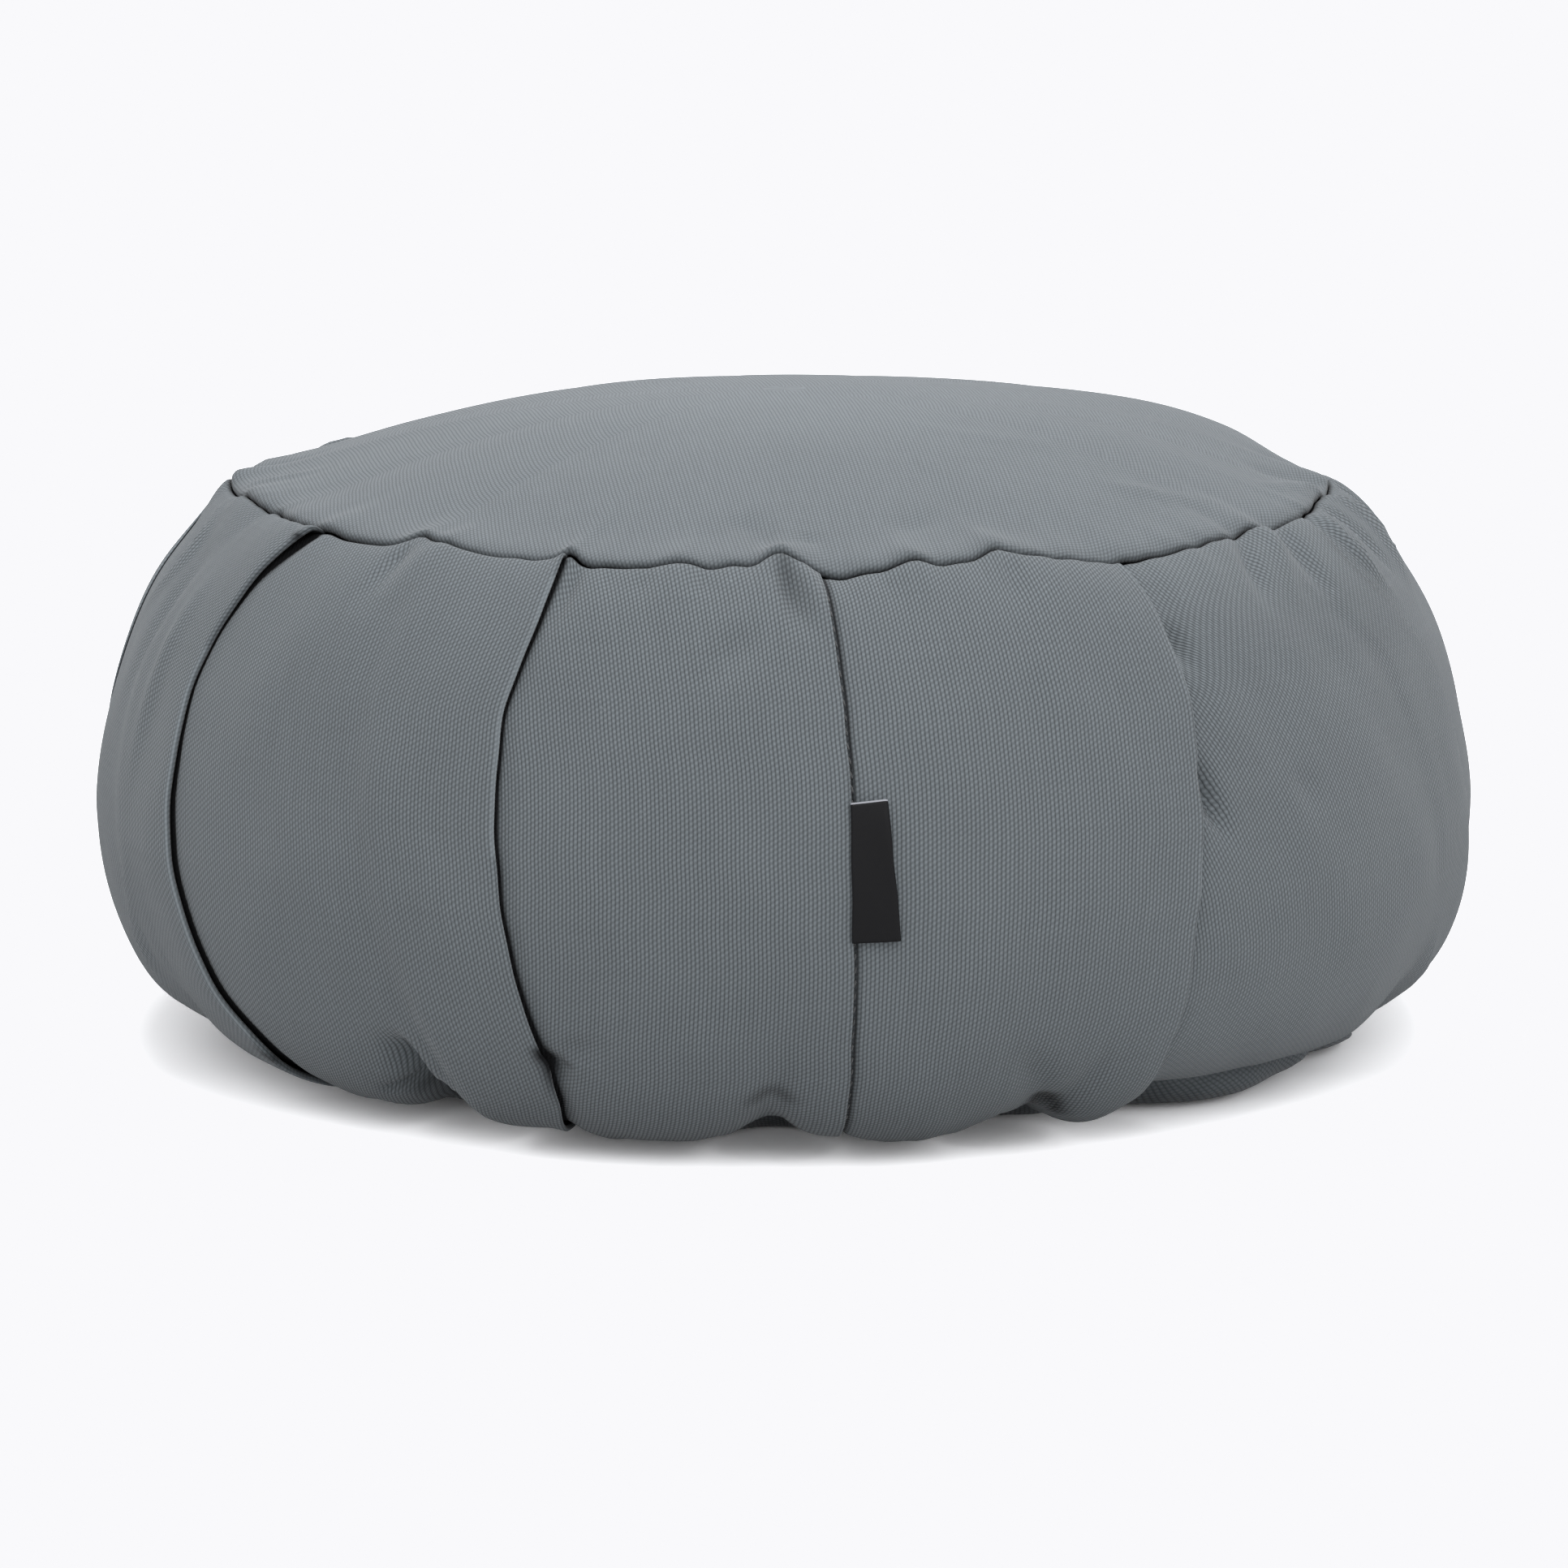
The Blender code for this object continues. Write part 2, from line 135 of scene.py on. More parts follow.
# Where the filling pushes the side out: middle, spread and depth
Bulge = namedtuple("Bulge", "angle share angle_spread share_spread depth")
BULGES = rows_of(Bulge, (
    (84.0, 0.34, 30.0, 0.13, 0.1 * MM),
    (88.0, 0.70, 20.0, 0.10, 1.0 * MM),
    (96.0, 0.91, 14.0, 0.05, 0.2 * MM),
    (94.0, 1.00, 12.0, 0.05, -1.0 * MM),
    (82.0, 0.17, 14.0, 0.07, -1.2 * MM),
    (-93.0, 0.80, 13.0, 0.08, 0.2 * MM),
    (60.0, 0.12, 8.0, 0.11, 3.2 * MM),
    (-50.0, 0.08, 4.5, 0.09, -1.2 * MM),
    (-37.0, 0.07, 6.0, 0.08, 1.0 * MM),
    (-63.0, 0.10, 5.0, 0.08, 1.0 * MM),
    (-84.0, 0.60, 18.0, 0.20, 1.0 * MM),
    (-80.0, 0.90, 16.0, 0.07, -1.4 * MM),
    (-84.0, 0.10, 20.0, 0.07, -2.5 * MM),
    (-150.0, 0.60, 40.0, 0.30, 1.2 * MM),
))
CROWN_SWELL_ANGLE = 112.0
CROWN_SWELL_DEPTH = 2.2 * MM
# Where the filling lifts or sinks the top: place across and deep, spread and height (mm)
Mound = namedtuple("Mound", "x y spread height")
TOP_MOUNDS = rows_of(Mound, (
    (103.0, 38.0, 32.0, 2.4),
    (30.0, 60.0, 50.0, -0.6),
))

MOUND_CALM = 8

# Pinches of the seams beyond the plain sag: angle, half width (degrees), rise and pull
# inwards (mm), and how far up or down the side they reach (mm)
Pinch = namedtuple("Pinch", "angle spread rise pull reach")
TOP_PINCHES = rows_of(Pinch, (
    (-88.0, 4.5, 0.8, -3.0, 9.0),
    (-74.0, 6.0, 2.4, 0.0, 10.0),
    (-65.0, 3.0, -0.6, 0.6, 9.0),
    (-52.0, 2.6, 0.9, 0.3, 7.0),
    (-39.0, 2.0, 3.2, 1.6, 10.0),
    (-21.2, 1.3, 3.2, 0.8, 8.0),
    (-10.0, 2.0, 1.0, 0.0, 7.0),
    (-0.2, 1.7, 4.0, 1.4, 11.0),
    (5.2, 2.6, -1.4, 0.0, 7.0),
    (12.2, 2.4, 2.4, 0.3, 8.0),
    (21.4, 2.6, 2.4, 0.6, 8.0),
    (33.0, 7.0, -1.7, -0.5, 14.0),
    (53.0, 3.6, -0.9, 0.6, 10.0),
    (60.5, 5.0, -1.5, 0.0, 10.0),
    (75.0, 5.0, 1.3, 1.5, 12.0),
    (88.0, 4.0, 1.1, -1.5, 9.0),
    (101.0, 7.0, -2.2, 0.0, 14.0),
    (246.0, 8.0, -2.0, 0.8, 12.0),
    (127.5, 2.4, 1.8, 1.5, 11.0),
    (161.0, 2.0, 1.4, 1.2, 9.0),
    (194.0, 2.6, 2.0, 1.6, 11.0),
    (227.0, 2.0, 1.4, 1.3, 9.0),
    (271.5, 2.2, 1.6, 1.3, 10.0),
))
BOTTOM_PINCHES = rows_of(Pinch, (
    (-65.0, 3.6, 3.6, 3.6, 14.0),
    (-54.0, 2.6, 2.4, 2.4, 9.0),
    (-41.5, 2.6, 2.2, 3.0, 12.0),
    (-34.0, 4.6, 5.0, 5.5, 20.0),
    (-22.3, 3.0, 2.2, 2.2, 12.0),
    (-14.0, 8.0, -1.0, 0.0, 16.0),
    (13.0, 6.0, -0.8, 0.0, 16.0),
    (-1.4, 3.0, 7.6, 4.6, 16.0),
    (5.0, 2.6, 2.6, 1.6, 9.0),
    (23.4, 2.8, 8.4, 7.6, 17.0),
    (68.0, 3.6, 2.6, 3.2, 14.0),
    (96.0, 3.2, 4.6, 4.4, 15.0),
    (127.0, 3.4, 5.4, 5.0, 17.0),
    (164.5, 3.0, 4.0, 4.2, 14.0),
    (194.5, 3.6, 6.0, 5.6, 18.0),
    (229.0, 3.2, 4.6, 4.6, 15.0),
    (266.0, 3.2, 4.2, 4.0, 15.0),
))

REACH_POWER = 1.5

# A stretch of the bottom seam that is pulled up: where it starts and ends, over how many
# degrees it fades at each end, its rise and pull inwards, and its reach up the side (mm)
Raise = namedtuple("Raise", "start end fade_in fade_out rise pull reach")
BOTTOM_RAISE = Raise(29.5, 90.0, 5.0, 34.0, 11.0, -3.5, 24.0)
# Where the base rolls out under the side; only the place and the fades count here
BASE_ROLL = Raise(34.0, 112.0, 20.0, 22.0, 0.0, 0.0, 0.0)
# Where the base lifts off the floor nearer its middle
BASE_LIFT = Raise(-62.0, 60.0, 16.0, 16.0, 0.0, 0.0, 0.0)

# Creases of the side: three places (angle, share) that the line runs through, its half
# width, its height (mm, troughs below 0), and whether it fades at its start and end
Crease = namedtuple("Crease", "start middle end width height fades")
BOTH, START, END, NEITHER = (True, True), (True, False), (False, True), (False, False)
SIDE_CREASES = rows_of(Crease, (
    ((-0.2, 1.00), (0.5, 0.938), (2.4, 0.86), 2.8, -2.0, END),
    ((2.0, 0.99), (2.9, 0.935), (4.0, 0.86), 2.4, 1.2, END),
    ((-2.4, 0.90), (-4.6, 0.84), (-7.2, 0.77), 4.6, -1.0, BOTH),
    ((-39.2, 1.00), (-39.6, 0.95), (-41.0, 0.86), 3.0, -1.5, END),
    ((-36.4, 0.99), (-36.4, 0.94), (-37.2, 0.86), 3.4, 0.9, END),
    ((-20.0, 0.98), (-20.1, 0.93), (-20.9, 0.85), 2.4, -1.1, END),
    ((-16.8, 1.00), (-16.4, 0.97), (-15.4, 0.92), 2.2, -0.6, END),
    ((-13.2, 1.00), (-13.1, 0.96), (-12.4, 0.91), 2.4, -0.8, END),
    ((-7.6, 1.00), (-7.4, 0.96), (-6.2, 0.92), 2.2, -0.7, END),
    ((9.6, 1.00), (9.8, 0.96), (10.4, 0.90), 2.4, -0.6, END),
    ((22.0, 1.00), (21.6, 0.95), (20.6, 0.88), 2.6, -0.8, END),
    ((35.8, 0.88), (36.0, 0.83), (37.4, 0.77), 2.8, -1.4, BOTH),
    ((34.9, 0.68), (35.7, 0.605), (37.9, 0.53), 2.2, -2.6, BOTH),
    ((45.0, 0.64), (45.8, 0.60), (46.8, 0.55), 3.0, -0.6, BOTH),
    ((52.2, 1.00), (49.6, 0.93), (47.6, 0.84), 3.4, -1.9, END),
    ((56.5, 1.00), (54.0, 0.92), (52.2, 0.82), 3.6, 0.9, END),
    ((58.8, 1.00), (57.4, 0.91), (58.6, 0.80), 3.6, -1.4, END),
    ((77.6, 1.00), (80.6, 0.91), (77.2, 0.76), 2.6, 1.7, END),
    ((68.0, 1.00), (68.6, 0.90), (74.6, 0.79), 2.4, 1.4, END),
    ((72.6, 0.99), (75.0, 0.90), (77.0, 0.82), 2.8, -1.3, END),
    ((70.5, 0.33), (72.0, 0.24), (74.5, 0.16), 3.4, 0.8, BOTH),
    ((-64.0, 0.94), (-66.0, 0.70), (-66.4, 0.48), 4.0, 0.9, BOTH),
    ((-81.0, 0.99), (-76.4, 0.88), (-84.0, 0.73), 3.0, 1.2, BOTH),
    ((-70.0, 0.95), (-72.4, 0.78), (-72.0, 0.55), 4.4, -0.9, BOTH),
    ((-66.4, 0.50), (-68.0, 0.30), (-71.5, 0.13), 3.6, 1.0, BOTH),
    ((-33.8, 0.29), (-32.6, 0.19), (-33.4, 0.04), 5.0, -4.4, START),
    ((-38.0, 0.15), (-35.6, 0.155), (-32.4, 0.17), 1.6, -2.0, BOTH),
    ((-31.2, 0.32), (-30.2, 0.21), (-26.0, 0.12), 2.6, 1.5, BOTH),
    ((-18.9, 0.29), (-18.2, 0.25), (-17.9, 0.20), 4.0, -1.4, BOTH),
    ((-18.2, 0.275), (-16.0, 0.29), (-12.6, 0.30), 3.6, -1.0, BOTH),
    ((22.6, 0.15), (20.6, 0.24), (17.0, 0.29), 4.6, -1.3, END),
    ((24.6, 0.14), (25.6, 0.22), (27.6, 0.28), 4.4, -0.9, END),
    ((-1.4, 0.12), (-1.2, 0.19), (0.2, 0.27), 3.4, -0.9, END),
    ((88.0, 0.98), (90.0, 0.88), (93.0, 0.76), 3.4, -1.3, END),
    ((97.0, 0.30), (95.0, 0.20), (95.6, 0.06), 4.6, -2.2, START),
    ((116.0, 0.98), (117.4, 0.90), (121.0, 0.80), 3.2, -1.0, END),
    ((127.5, 1.00), (128.6, 0.91), (131.0, 0.80), 3.2, -1.6, END),
    ((128.0, 0.30), (126.4, 0.20), (127.0, 0.05), 5.0, -2.6, START),
    ((150.0, 0.97), (151.6, 0.87), (156.0, 0.78), 3.6, -1.0, END),
    ((161.0, 1.00), (161.4, 0.90), (163.0, 0.80), 3.0, -1.4, END),
    ((166.0, 0.28), (164.6, 0.17), (165.0, 0.05), 4.6, -2.2, START),
    ((182.0, 0.98), (184.0, 0.90), (189.0, 0.82), 3.2, -0.9, END),
    ((194.0, 1.00), (195.4, 0.90), (198.0, 0.79), 3.4, -1.6, END),
    ((195.6, 0.30), (194.4, 0.18), (195.0, 0.05), 5.4, -2.8, START),
    ((214.0, 0.96), (216.4, 0.86), (221.0, 0.76), 3.4, -1.0, BOTH),
    ((227.0, 1.00), (227.6, 0.92), (230.0, 0.83), 3.0, -1.4, END),
    ((230.0, 0.28), (229.0, 0.18), (229.6, 0.05), 4.8, -2.4, START),
    ((252.0, 0.97), (254.0, 0.88), (258.0, 0.80), 3.4, -0.9, END),
    ((266.0, 0.28), (265.6, 0.16), (266.0, 0.05), 4.8, -2.2, START),
))

# Creases of the top panel, as (x, y) places in mm
TOP_CREASES = rows_of(Crease, (
    ((-12.0, -106.0), (-7.0, -112.0), (-2.0, -121.0), 4.6, -1.1, START),
    ((3.0, -116.0), (6.0, -118.0), (9.0, -117.0), 3.4, -0.8, BOTH),
    ((24.0, -117.0), (30.0, -108.0), (38.0, -97.0), 4.0, -0.8, BOTH),
    ((68.0, -73.0), (88.0, -69.5), (108.0, -62.0), 4.0, 0.9, BOTH),
    ((112.0, -45.0), (118.0, -36.0), (129.0, -25.0), 3.4, 1.0, START),
    ((108.0, -27.0), (117.0, -20.0), (128.0, -13.0), 4.6, -1.3, START),
    ((22.0, -35.0), (50.0, -50.0), (86.0, -31.0), 5.0, 0.35, BOTH),
    ((-129.0, -22.0), (-118.0, -22.5), (-106.0, -24.0), 3.2, 0.9, END),
    ((-80.0, -104.0), (-76.0, -97.0), (-70.0, -88.0), 3.4, -0.8, END),
    ((-46.0, -123.0), (-43.0, -114.0), (-37.0, -103.0), 3.6, -0.7, END),
    ((47.0, -122.0), (45.0, -113.0), (40.0, -104.0), 3.6, 0.7, END),
    ((129.0, 2.0), (117.0, 1.0), (104.0, -4.0), 3.6, -0.9, END),
    ((102.0, 80.0), (93.0, 72.0), (80.0, 66.0), 3.8, -1.0, END),
    ((43.0, 122.0), (40.0, 110.0), (33.0, 97.0), 3.8, -1.0, END),
    ((-32.0, 126.0), (-29.0, 113.0), (-22.0, 101.0), 3.8, -1.0, END),
    ((-95.0, 89.0), (-86.0, 80.0), (-73.0, 73.0), 3.8, -1.0, END),
    ((-129.0, 6.0), (-118.0, 5.0), (-103.0, 9.0), 3.6, -0.8, END),
    ((-60.0, 20.0), (-20.0, 34.0), (30.0, 26.0), 7.0, 0.4, BOTH),
    ((-20.0, 60.0), (20.0, 66.0), (58.0, 54.0), 7.0, -0.4, BOTH),
))

# Painted shade: dark lines where narrow tucks are too deep to see into, and soft ones beside some
# ridges, in the same way, with how dark they are
PAINTED_SHADE_LINES = rows_of(Crease, (
    ((-43.8, 0.030), (-40.4, 0.072), (-37.8, 0.085), 0.9, 1.2, BOTH),
    ((-37.0, 0.180), (-33.6, 0.12), (-29.5, 0.04), 3.4, 0.5, START),
    ((-19.4, 0.285), (-18.9, 0.245), (-19.0, 0.17), 1.9, 1.0, END),
    ((-17.9, 0.262), (-17.4, 0.258), (-16.6, 0.262), 1.0, 0.5, END),
    ((-51.0, 0.215), (-49.8, 0.185), (-48.6, 0.150), 1.5, 0.95, BOTH),
    ((-55.2, 0.975), (-54.0, 0.965), (-52.6, 0.960), 1.5, 0.9, BOTH),
    ((34.4, 0.62), (35.2, 0.60), (36.2, 0.57), 0.9, 0.5, END),
    ((0.0, 0.99), (0.3, 0.945), (1.8, 0.88), 2.2, 0.34, END),
    ((5.35, 0.03), (5.45, 0.30), (5.35, 0.60), 0.6, 0.8, NEITHER),
    ((23.4, 0.100), (23.6, 0.150), (25.4, 0.110), 2.6, 0.95, NEITHER),
    ((-2.4, 0.20), (-1.2, 0.215), (0.2, 0.20), 2.6, 0.5, NEITHER),
    ((5.35, 0.60), (4.95, 0.80), (3.7, 1.00), 0.6, 0.9, NEITHER),
    ((64.9, 0.99), (63.8, 0.90), (69.5, 0.80), 2.0, 0.30, START),
    ((69.5, 0.80), (73.2, 0.70), (75.6, 0.58), 2.0, 0.30, END),
    ((69.2, 0.99), (69.6, 0.90), (75.6, 0.79), 1.8, 0.26, BOTH),
    ((79.0, 1.00), (82.2, 0.92), (79.0, 0.80), 1.8, 0.24, BOTH),
))
# A crease is drawn in this many straight parts; it fades over these shares of its length
CREASE_PARTS = 8
CREASE_START_FADE = 0.45
CREASE_END_FADE = 0.6
SIDE_CREASE_STRENGTH = 1.55
TOP_CREASE_STRENGTH = 1.0
CREASE_NARROWING = 0.85
CREASE_AT_SEAM = 0.3
CREASE_CALM_REACH = 7.0 * MM

# Small puckers where the cloth is gathered into the seams
PUCKER_HEIGHT = 0.34 * MM
PUCKER_REACH = 9.0 * MM
PUCKERS_AT_BOTTOM = 1.3
PUCKER_WAVES = ((61, 0.4), (83, 2.1), (97, 4.0), (118, 5.3))
PUCKER_GROUPS = ((3, 0.9), (7, 3.3))
# Slow unevenness of the filled side: waves round, waves up, turn and height (mm)
UNEVEN_WAVES = ((9, 3.0, 0.7, 0.28), (17, -5.0, 2.2, 0.20), (29, 7.0, 4.4, 0.13),
                (41, -4.0, 1.3, 0.08), (53, 11.0, 3.6, 0.05))

# How the cloth turns in at the seams
SIDE_TURN_RADIUS = 2.2 * MM
SIDE_TURN_PART = 0.96
PANEL_ROLL_RADIUS = 1.5 * MM
PANEL_ROLL_RISE = 0.6 * MM
PANEL_PUFF_REACH = 9.0 * MM
SEAM_PULL_REACH = 9.0 * MM
PANEL_THICKNESS = 0.9 * MM
UNDER_PANEL_GAP = 2.2 * MM
SEAM_TURN_IN = 1.0 * MM
BOTTOM_FLOOR_RADIUS = 115.5 * MM
FRONT_FLOOR_RADIUS = 104.5 * MM
BOTTOM_RIM_SHORTEST = 4.0 * MM
BOTTOM_RIM_POWER = 1.6
BOTTOM_ROLL_START = 9.0 * MM
BOTTOM_ROLL_OUT = 9.0 * MM
ROLL_LOW = 0.02
ROLL_HIGH = 0.66
BASE_PARTS = (0.2, 0.5, 0.8)
RIM_ROWS = 16
# Where that roll stands out furthest
BASE_BULGE = Raise(58.0, 93.0, 10.0, 18.0, 0.0, 0.0, 0.0)
BASE_BULGE_OUT = 8.0 * MM

# Painted shade: how dark the cloth is painted where it is folded away, round a folded edge,
# beside it and at the seams. Below 0 it is painted paler instead, a painted highlight on folded
# edges.
NOSE_SHADES = (-0.2, -0.6, -1.0, -0.5, 0.25, 0.6, 1.0)
CLOSED_NOSE_SHADE = 0.22
BESIDE_FOLD_SHADE = 0.9
BESIDE_FOLD_REACH = 0.25 * MM
BESIDE_FOLD_PER_MOUTH = 0.45
# Painted highlight and paleness: how much paler, and towards which colour
PAINTED_PALE_STRENGTH = 0.50
PAINTED_PALE_COLOR = 2.0
OPEN_MOUTH = 1.3 * MM
SEAM_SHADE = 1.0
SEAM_SHADE_REACH = 1.9 * MM
# Faces painted darker than this take the shaded copy of the canvas, without sheen
SHADED_COPY_FROM = 0.8
# The colour of the painted shade
PAINTED_SHADE_COLOR = (0.0035, 0.0038, 0.0042, 1.0)

# Rows and columns
BESIDE_FOLD = (0.25 * MM, 0.5 * MM, 0.85 * MM, 1.4 * MM, 2.1 * MM)
SEAM_ROWS = (0.0, 0.4, 0.9, 1.5, 2.2, 3.0, 4.0, 5.2, 6.6, 8.2, 10.0)
ROW_SPACING = 1.75 * MM
PANEL_COLUMNS = 44
COLUMN_EASE = 0.55
NOSE_TURNS = (90.0, 62.0, 34.0, 8.0, -20.0, -50.0, -90.0)
UNDER_PARTS = (0.3, 0.65, 1.0)
FLOOR_PARTS = (1.0, 0.65, 0.35, 0.12, 0.0)
CAP_PARTS = (0.93, 0.7, 0.4, 0.15)
CAP_POWER = 6
LOW_CAP_STEP = 3.0
HIGH_CAP_STEP = 6.0
PANEL_ANGLES = 540
PANEL_ROWS = 46
PANEL_ROWS_EASE = 1.8
TOP_GRAIN_TURN = 7.0
BASE_GRAIN_TURN = -4.0
PANEL_WAVE_TURN = 1.7
WAVES_ACROSS = 61.0
WAVES_DEEP = 83.0
PANEL_WAVE_HEIGHT = 0.22 * MM
PANEL_WAVE_REACH = 8.0 * MM
PANEL_CALM = 0.35
PANEL_CALM_REACH = 3.0 * MM
UNDER_PANEL_PARTS = (0.955, 0.9, 0.7, 0.4, 0.15)
PANEL_ROLL_WAVE = 0.07
PANEL_ROLL_START = 70.0
PANEL_ROLL_TURNS = (45.0, 20.0, -8.0, -35.0, -62.0)
# Painted shade on the roll as it turns under, and near the top's edge
PANEL_ROLL_SHADES = (0.14, 0.26, 0.46, 0.9, 1.0)
PANEL_EDGE_SHADE = 0.12
PANEL_EDGE_REACH = 3.0 * MM
# The top is painted paler towards its middle, over this share of its radius
MIDDLE_PAINTED_PALER = 0.24
MIDDLE_REACH = 0.62

# The tab in the join seam
TAB_BOTTOM = 57.5 * MM
TAB_TOP = 87.0 * MM
TAB_OUT_TOP = 7.6 * MM
TAB_OUT_BOTTOM = 10.1 * MM
TAB_SLOPE = 0.6 * MM
TAB_LAYER = 0.42 * MM
TAB_BEND = 0.34 * MM
TAB_BEND_PARTS = 6
TAB_STAND = 0.35 * MM
TAB_CURL = 0.12 * MM
TAB_ROWS = 36
TAB_COLUMNS = 14

# The stitches that show in the join seam
STITCH_PITCH = 3.0 * MM
STITCH_LENGTH = 1.7 * MM
STITCH_RADIUS = 0.22 * MM
STITCH_DEPTH = -0.45 * MM
STITCH_ASIDE = 0.25 * MM
STITCH_FLATNESS = 0.8
STITCH_LEAN = 9.0
STITCHES_START = 12.0 * MM
STITCHES_END = 131.0 * MM

# Canvas: the size of its threads, the form of a bead, and how uneven it is
WARP_PITCH = 0.91 * MM
WEFT_PITCH = 0.60 * MM
BEAD_LENGTH = 2.4
BEAD_LEAN = 0.33
BEAD_FULLNESS = 0.75
# The weave's tone is partly its own pattern and partly painted shade: gaps between threads painted
# darker, beads paler, as the bump casts no shade
BEAD_LIGHT = 1.3
WEAVE_MIDDLE = 0.770
THREAD_UNEVENNESS = 0.16
THREAD_WAVINESS = 0.00012
DRIFT_SCALE = 90.0
SLUBS_ACROSS = 0.5
SLUBS_ALONG = 0.018
SLUB_SCALE = 2.0
PATCH_UNEVENNESS = 0.10
PATCH_SIZE = 0.03
LINT_SCALE = 900.0
LINT_RARENESS = 0.76
LINT_SHARPNESS = 9.0
LINT_SEEN = 0.25
LINT_LIGHTER = 2.4
CANVAS_SHEEN = 0.10
CANVAS_COLOR = (0.084, 0.0945, 0.1005)
# The panels get less of that painted gap shade than the side, as they are seen more at a slant
SIDE_CONTRAST = 0.66
SIDE_RELIEF = 0.20 * MM
PANEL_CONTRAST = 0.45
PANEL_RELIEF = 0.14 * MM
# Relief of the shaded copy of the canvas, for faces painted in full shade
SHADED_COPY_RELIEF = 0.28 * MM

# Ribbon and thread
RIBBON_THREADS = {"Warp Pitch": 0.16 * MM, "Weft Pitch": 0.42 * MM, "Waviness": 0.00002}
RIBBON_LOW_COLOR = (0.002, 0.002, 0.002, 1.0)
RIBBON_HIGH_COLOR = (0.006, 0.006, 0.007, 1.0)
RIBBON_EDGE_COLOR = (0.18, 0.185, 0.20, 1.0)
RIBBON_EDGE_WIDTH = 0.35 * MM
RIBBON_RELIEF = 0.05 * MM
# The thread's colour runs at random between these; its darkness is partly painted shade of the seam's
# groove
THREAD_DARK_COLOR = (0.006, 0.006, 0.007, 1.0)
THREAD_PALE_COLOR = (0.050, 0.052, 0.052, 1.0)
THREAD_PATCH_SIZE = 0.004

# Studio
FLOOR_SIZE = 16.0
FLOOR_HEIGHT = -0.0003
SKY_LIGHT = 1.34
SKY_SEEN = 1.1
# The paper's painted light: paler to the camera than in the light it throws back, and glowing for the
# camera, more in front; the glow fades by ambient occlusion near the cushion, a partly painted
# contact shadow
PAPER_SEEN = 1.0
PAPER_BOUNCE = 0.62
PAPER_GLOW_SIDES = 0.17
PAPER_GLOW_FRONT = 0.56
CONTACT_REACH = 0.020
CONTACT_DARK = 0.09
CONTACT_CLEAR = 0.18
GLOW_START = -0.05
GLOW_FULL = -0.115
# Lamps: name, place, aim, size and power
LAMPS = (
    ("top_softbox", (0.0, 0.05, 1.5), (0.0, 0.0, 0.1), (1.1, 1.1), 21.0),
    ("key_softbox", (0.0, -1.4, 1.3), (0.0, 0.0, 0.06), (1.4, 1.0), 10.5),
    ("side_softbox", (0.9, -1.2, 1.1), (0.0, 0.0, 0.06), (1.1, 1.0), 8.5),
)
WHITE_SEEN = 0.965
WARM_SEEN = 0.981

# Camera, fitted to the front view
CAMERA_DISTANCE = 1.35
CAMERA_HEIGHT = 0.331
CAMERA_PITCH = 11.405
CAMERA_LENS = 129.1
CAMERA_SENSOR = 36.0


def smooth(x):
    """Ease from 0 to 1."""
    x = np.clip(x, 0.0, 1.0)
    return x * x * (3.0 - 2.0 * x)


def mix(a, b, part):
    """Part of the way from a to b."""
    return a + (b - a) * part


def bump(distance, spread):
    """A soft hill, 1 in its middle."""
    return np.exp(-(distance / spread) ** 2)


def around(angle, middle):
    """Signed turn from the middle to the angle, in degrees from -180 to 180."""
    return (angle - middle + 180.0) % 360.0 - 180.0


def curve_through(stations, values, share):
    """A smooth curve through the values, read at a share between the first and last station."""
    stations = np.asarray(stations)
    values = np.asarray(values)
    slopes = np.gradient(values, stations)
    i = np.clip(np.searchsorted(stations, share) - 1, 0, len(stations) - 2)
    span = stations[i + 1] - stations[i]
    x = np.clip((share - stations[i]) / span, 0.0, 1.0)
    ends = values[i] * (1 + 2 * x) * (1 - x) ** 2 + values[i + 1] * x * x * (3 - 2 * x)
    turns = slopes[i] * x * (1 - x) ** 2 - slopes[i + 1] * x * x * (1 - x)
    return ends + turns * span


def side_profile():
    """Radius and height of the side from the bottom seam to the top seam, evenly spaced."""
    half = np.linspace(0.0, math.pi / 2, PROFILE_SAMPLES)
    low_power = 2.0 / LOWER_SIDE_EXPONENT
    high_power = 2.0 / UPPER_SIDE_EXPONENT
    cos_half = np.clip(np.cos(half), 0.0, 1.0)
    sin_half = np.sin(half)
    low_r = BOTTOM_SEAM_RADIUS + (WAIST_RADIUS - BOTTOM_SEAM_RADIUS) * cos_half ** low_power
    low_z = WAIST_HEIGHT + (BOTTOM_SEAM_HEIGHT - WAIST_HEIGHT) * sin_half ** low_power
    high_r = TOP_SEAM_RADIUS + (WAIST_RADIUS - TOP_SEAM_RADIUS) * cos_half ** high_power
    high_z = WAIST_HEIGHT + (TOP_SEAM_HEIGHT - WAIST_HEIGHT) * sin_half ** high_power
    radius = np.concatenate((low_r[::-1], high_r[1:]))
    height = np.concatenate((low_z[::-1], high_z[1:]))
    steps = np.hypot(np.diff(radius), np.diff(height))
    length = np.concatenate(([0.0], np.cumsum(steps)))
    even = np.linspace(0.0, length[-1], PROFILE_SAMPLES)
    return np.interp(even, length, radius), np.interp(even, length, height), length[-1]


PROFILE_R, PROFILE_Z, SLANT = side_profile()
PROFILE_SHARE = np.linspace(0.0, 1.0, PROFILE_SAMPLES)
ACROSS = np.gradient(PROFILE_Z)
UP = -np.gradient(PROFILE_R)
FACING = np.hypot(ACROSS, UP)
NORMAL_R = ACROSS / FACING
NORMAL_Z = UP / FACING


def side_radius(share):
    return np.interp(share, PROFILE_SHARE, PROFILE_R)


def share_at_height(height):
    return np.interp(height, PROFILE_Z, PROFILE_SHARE)


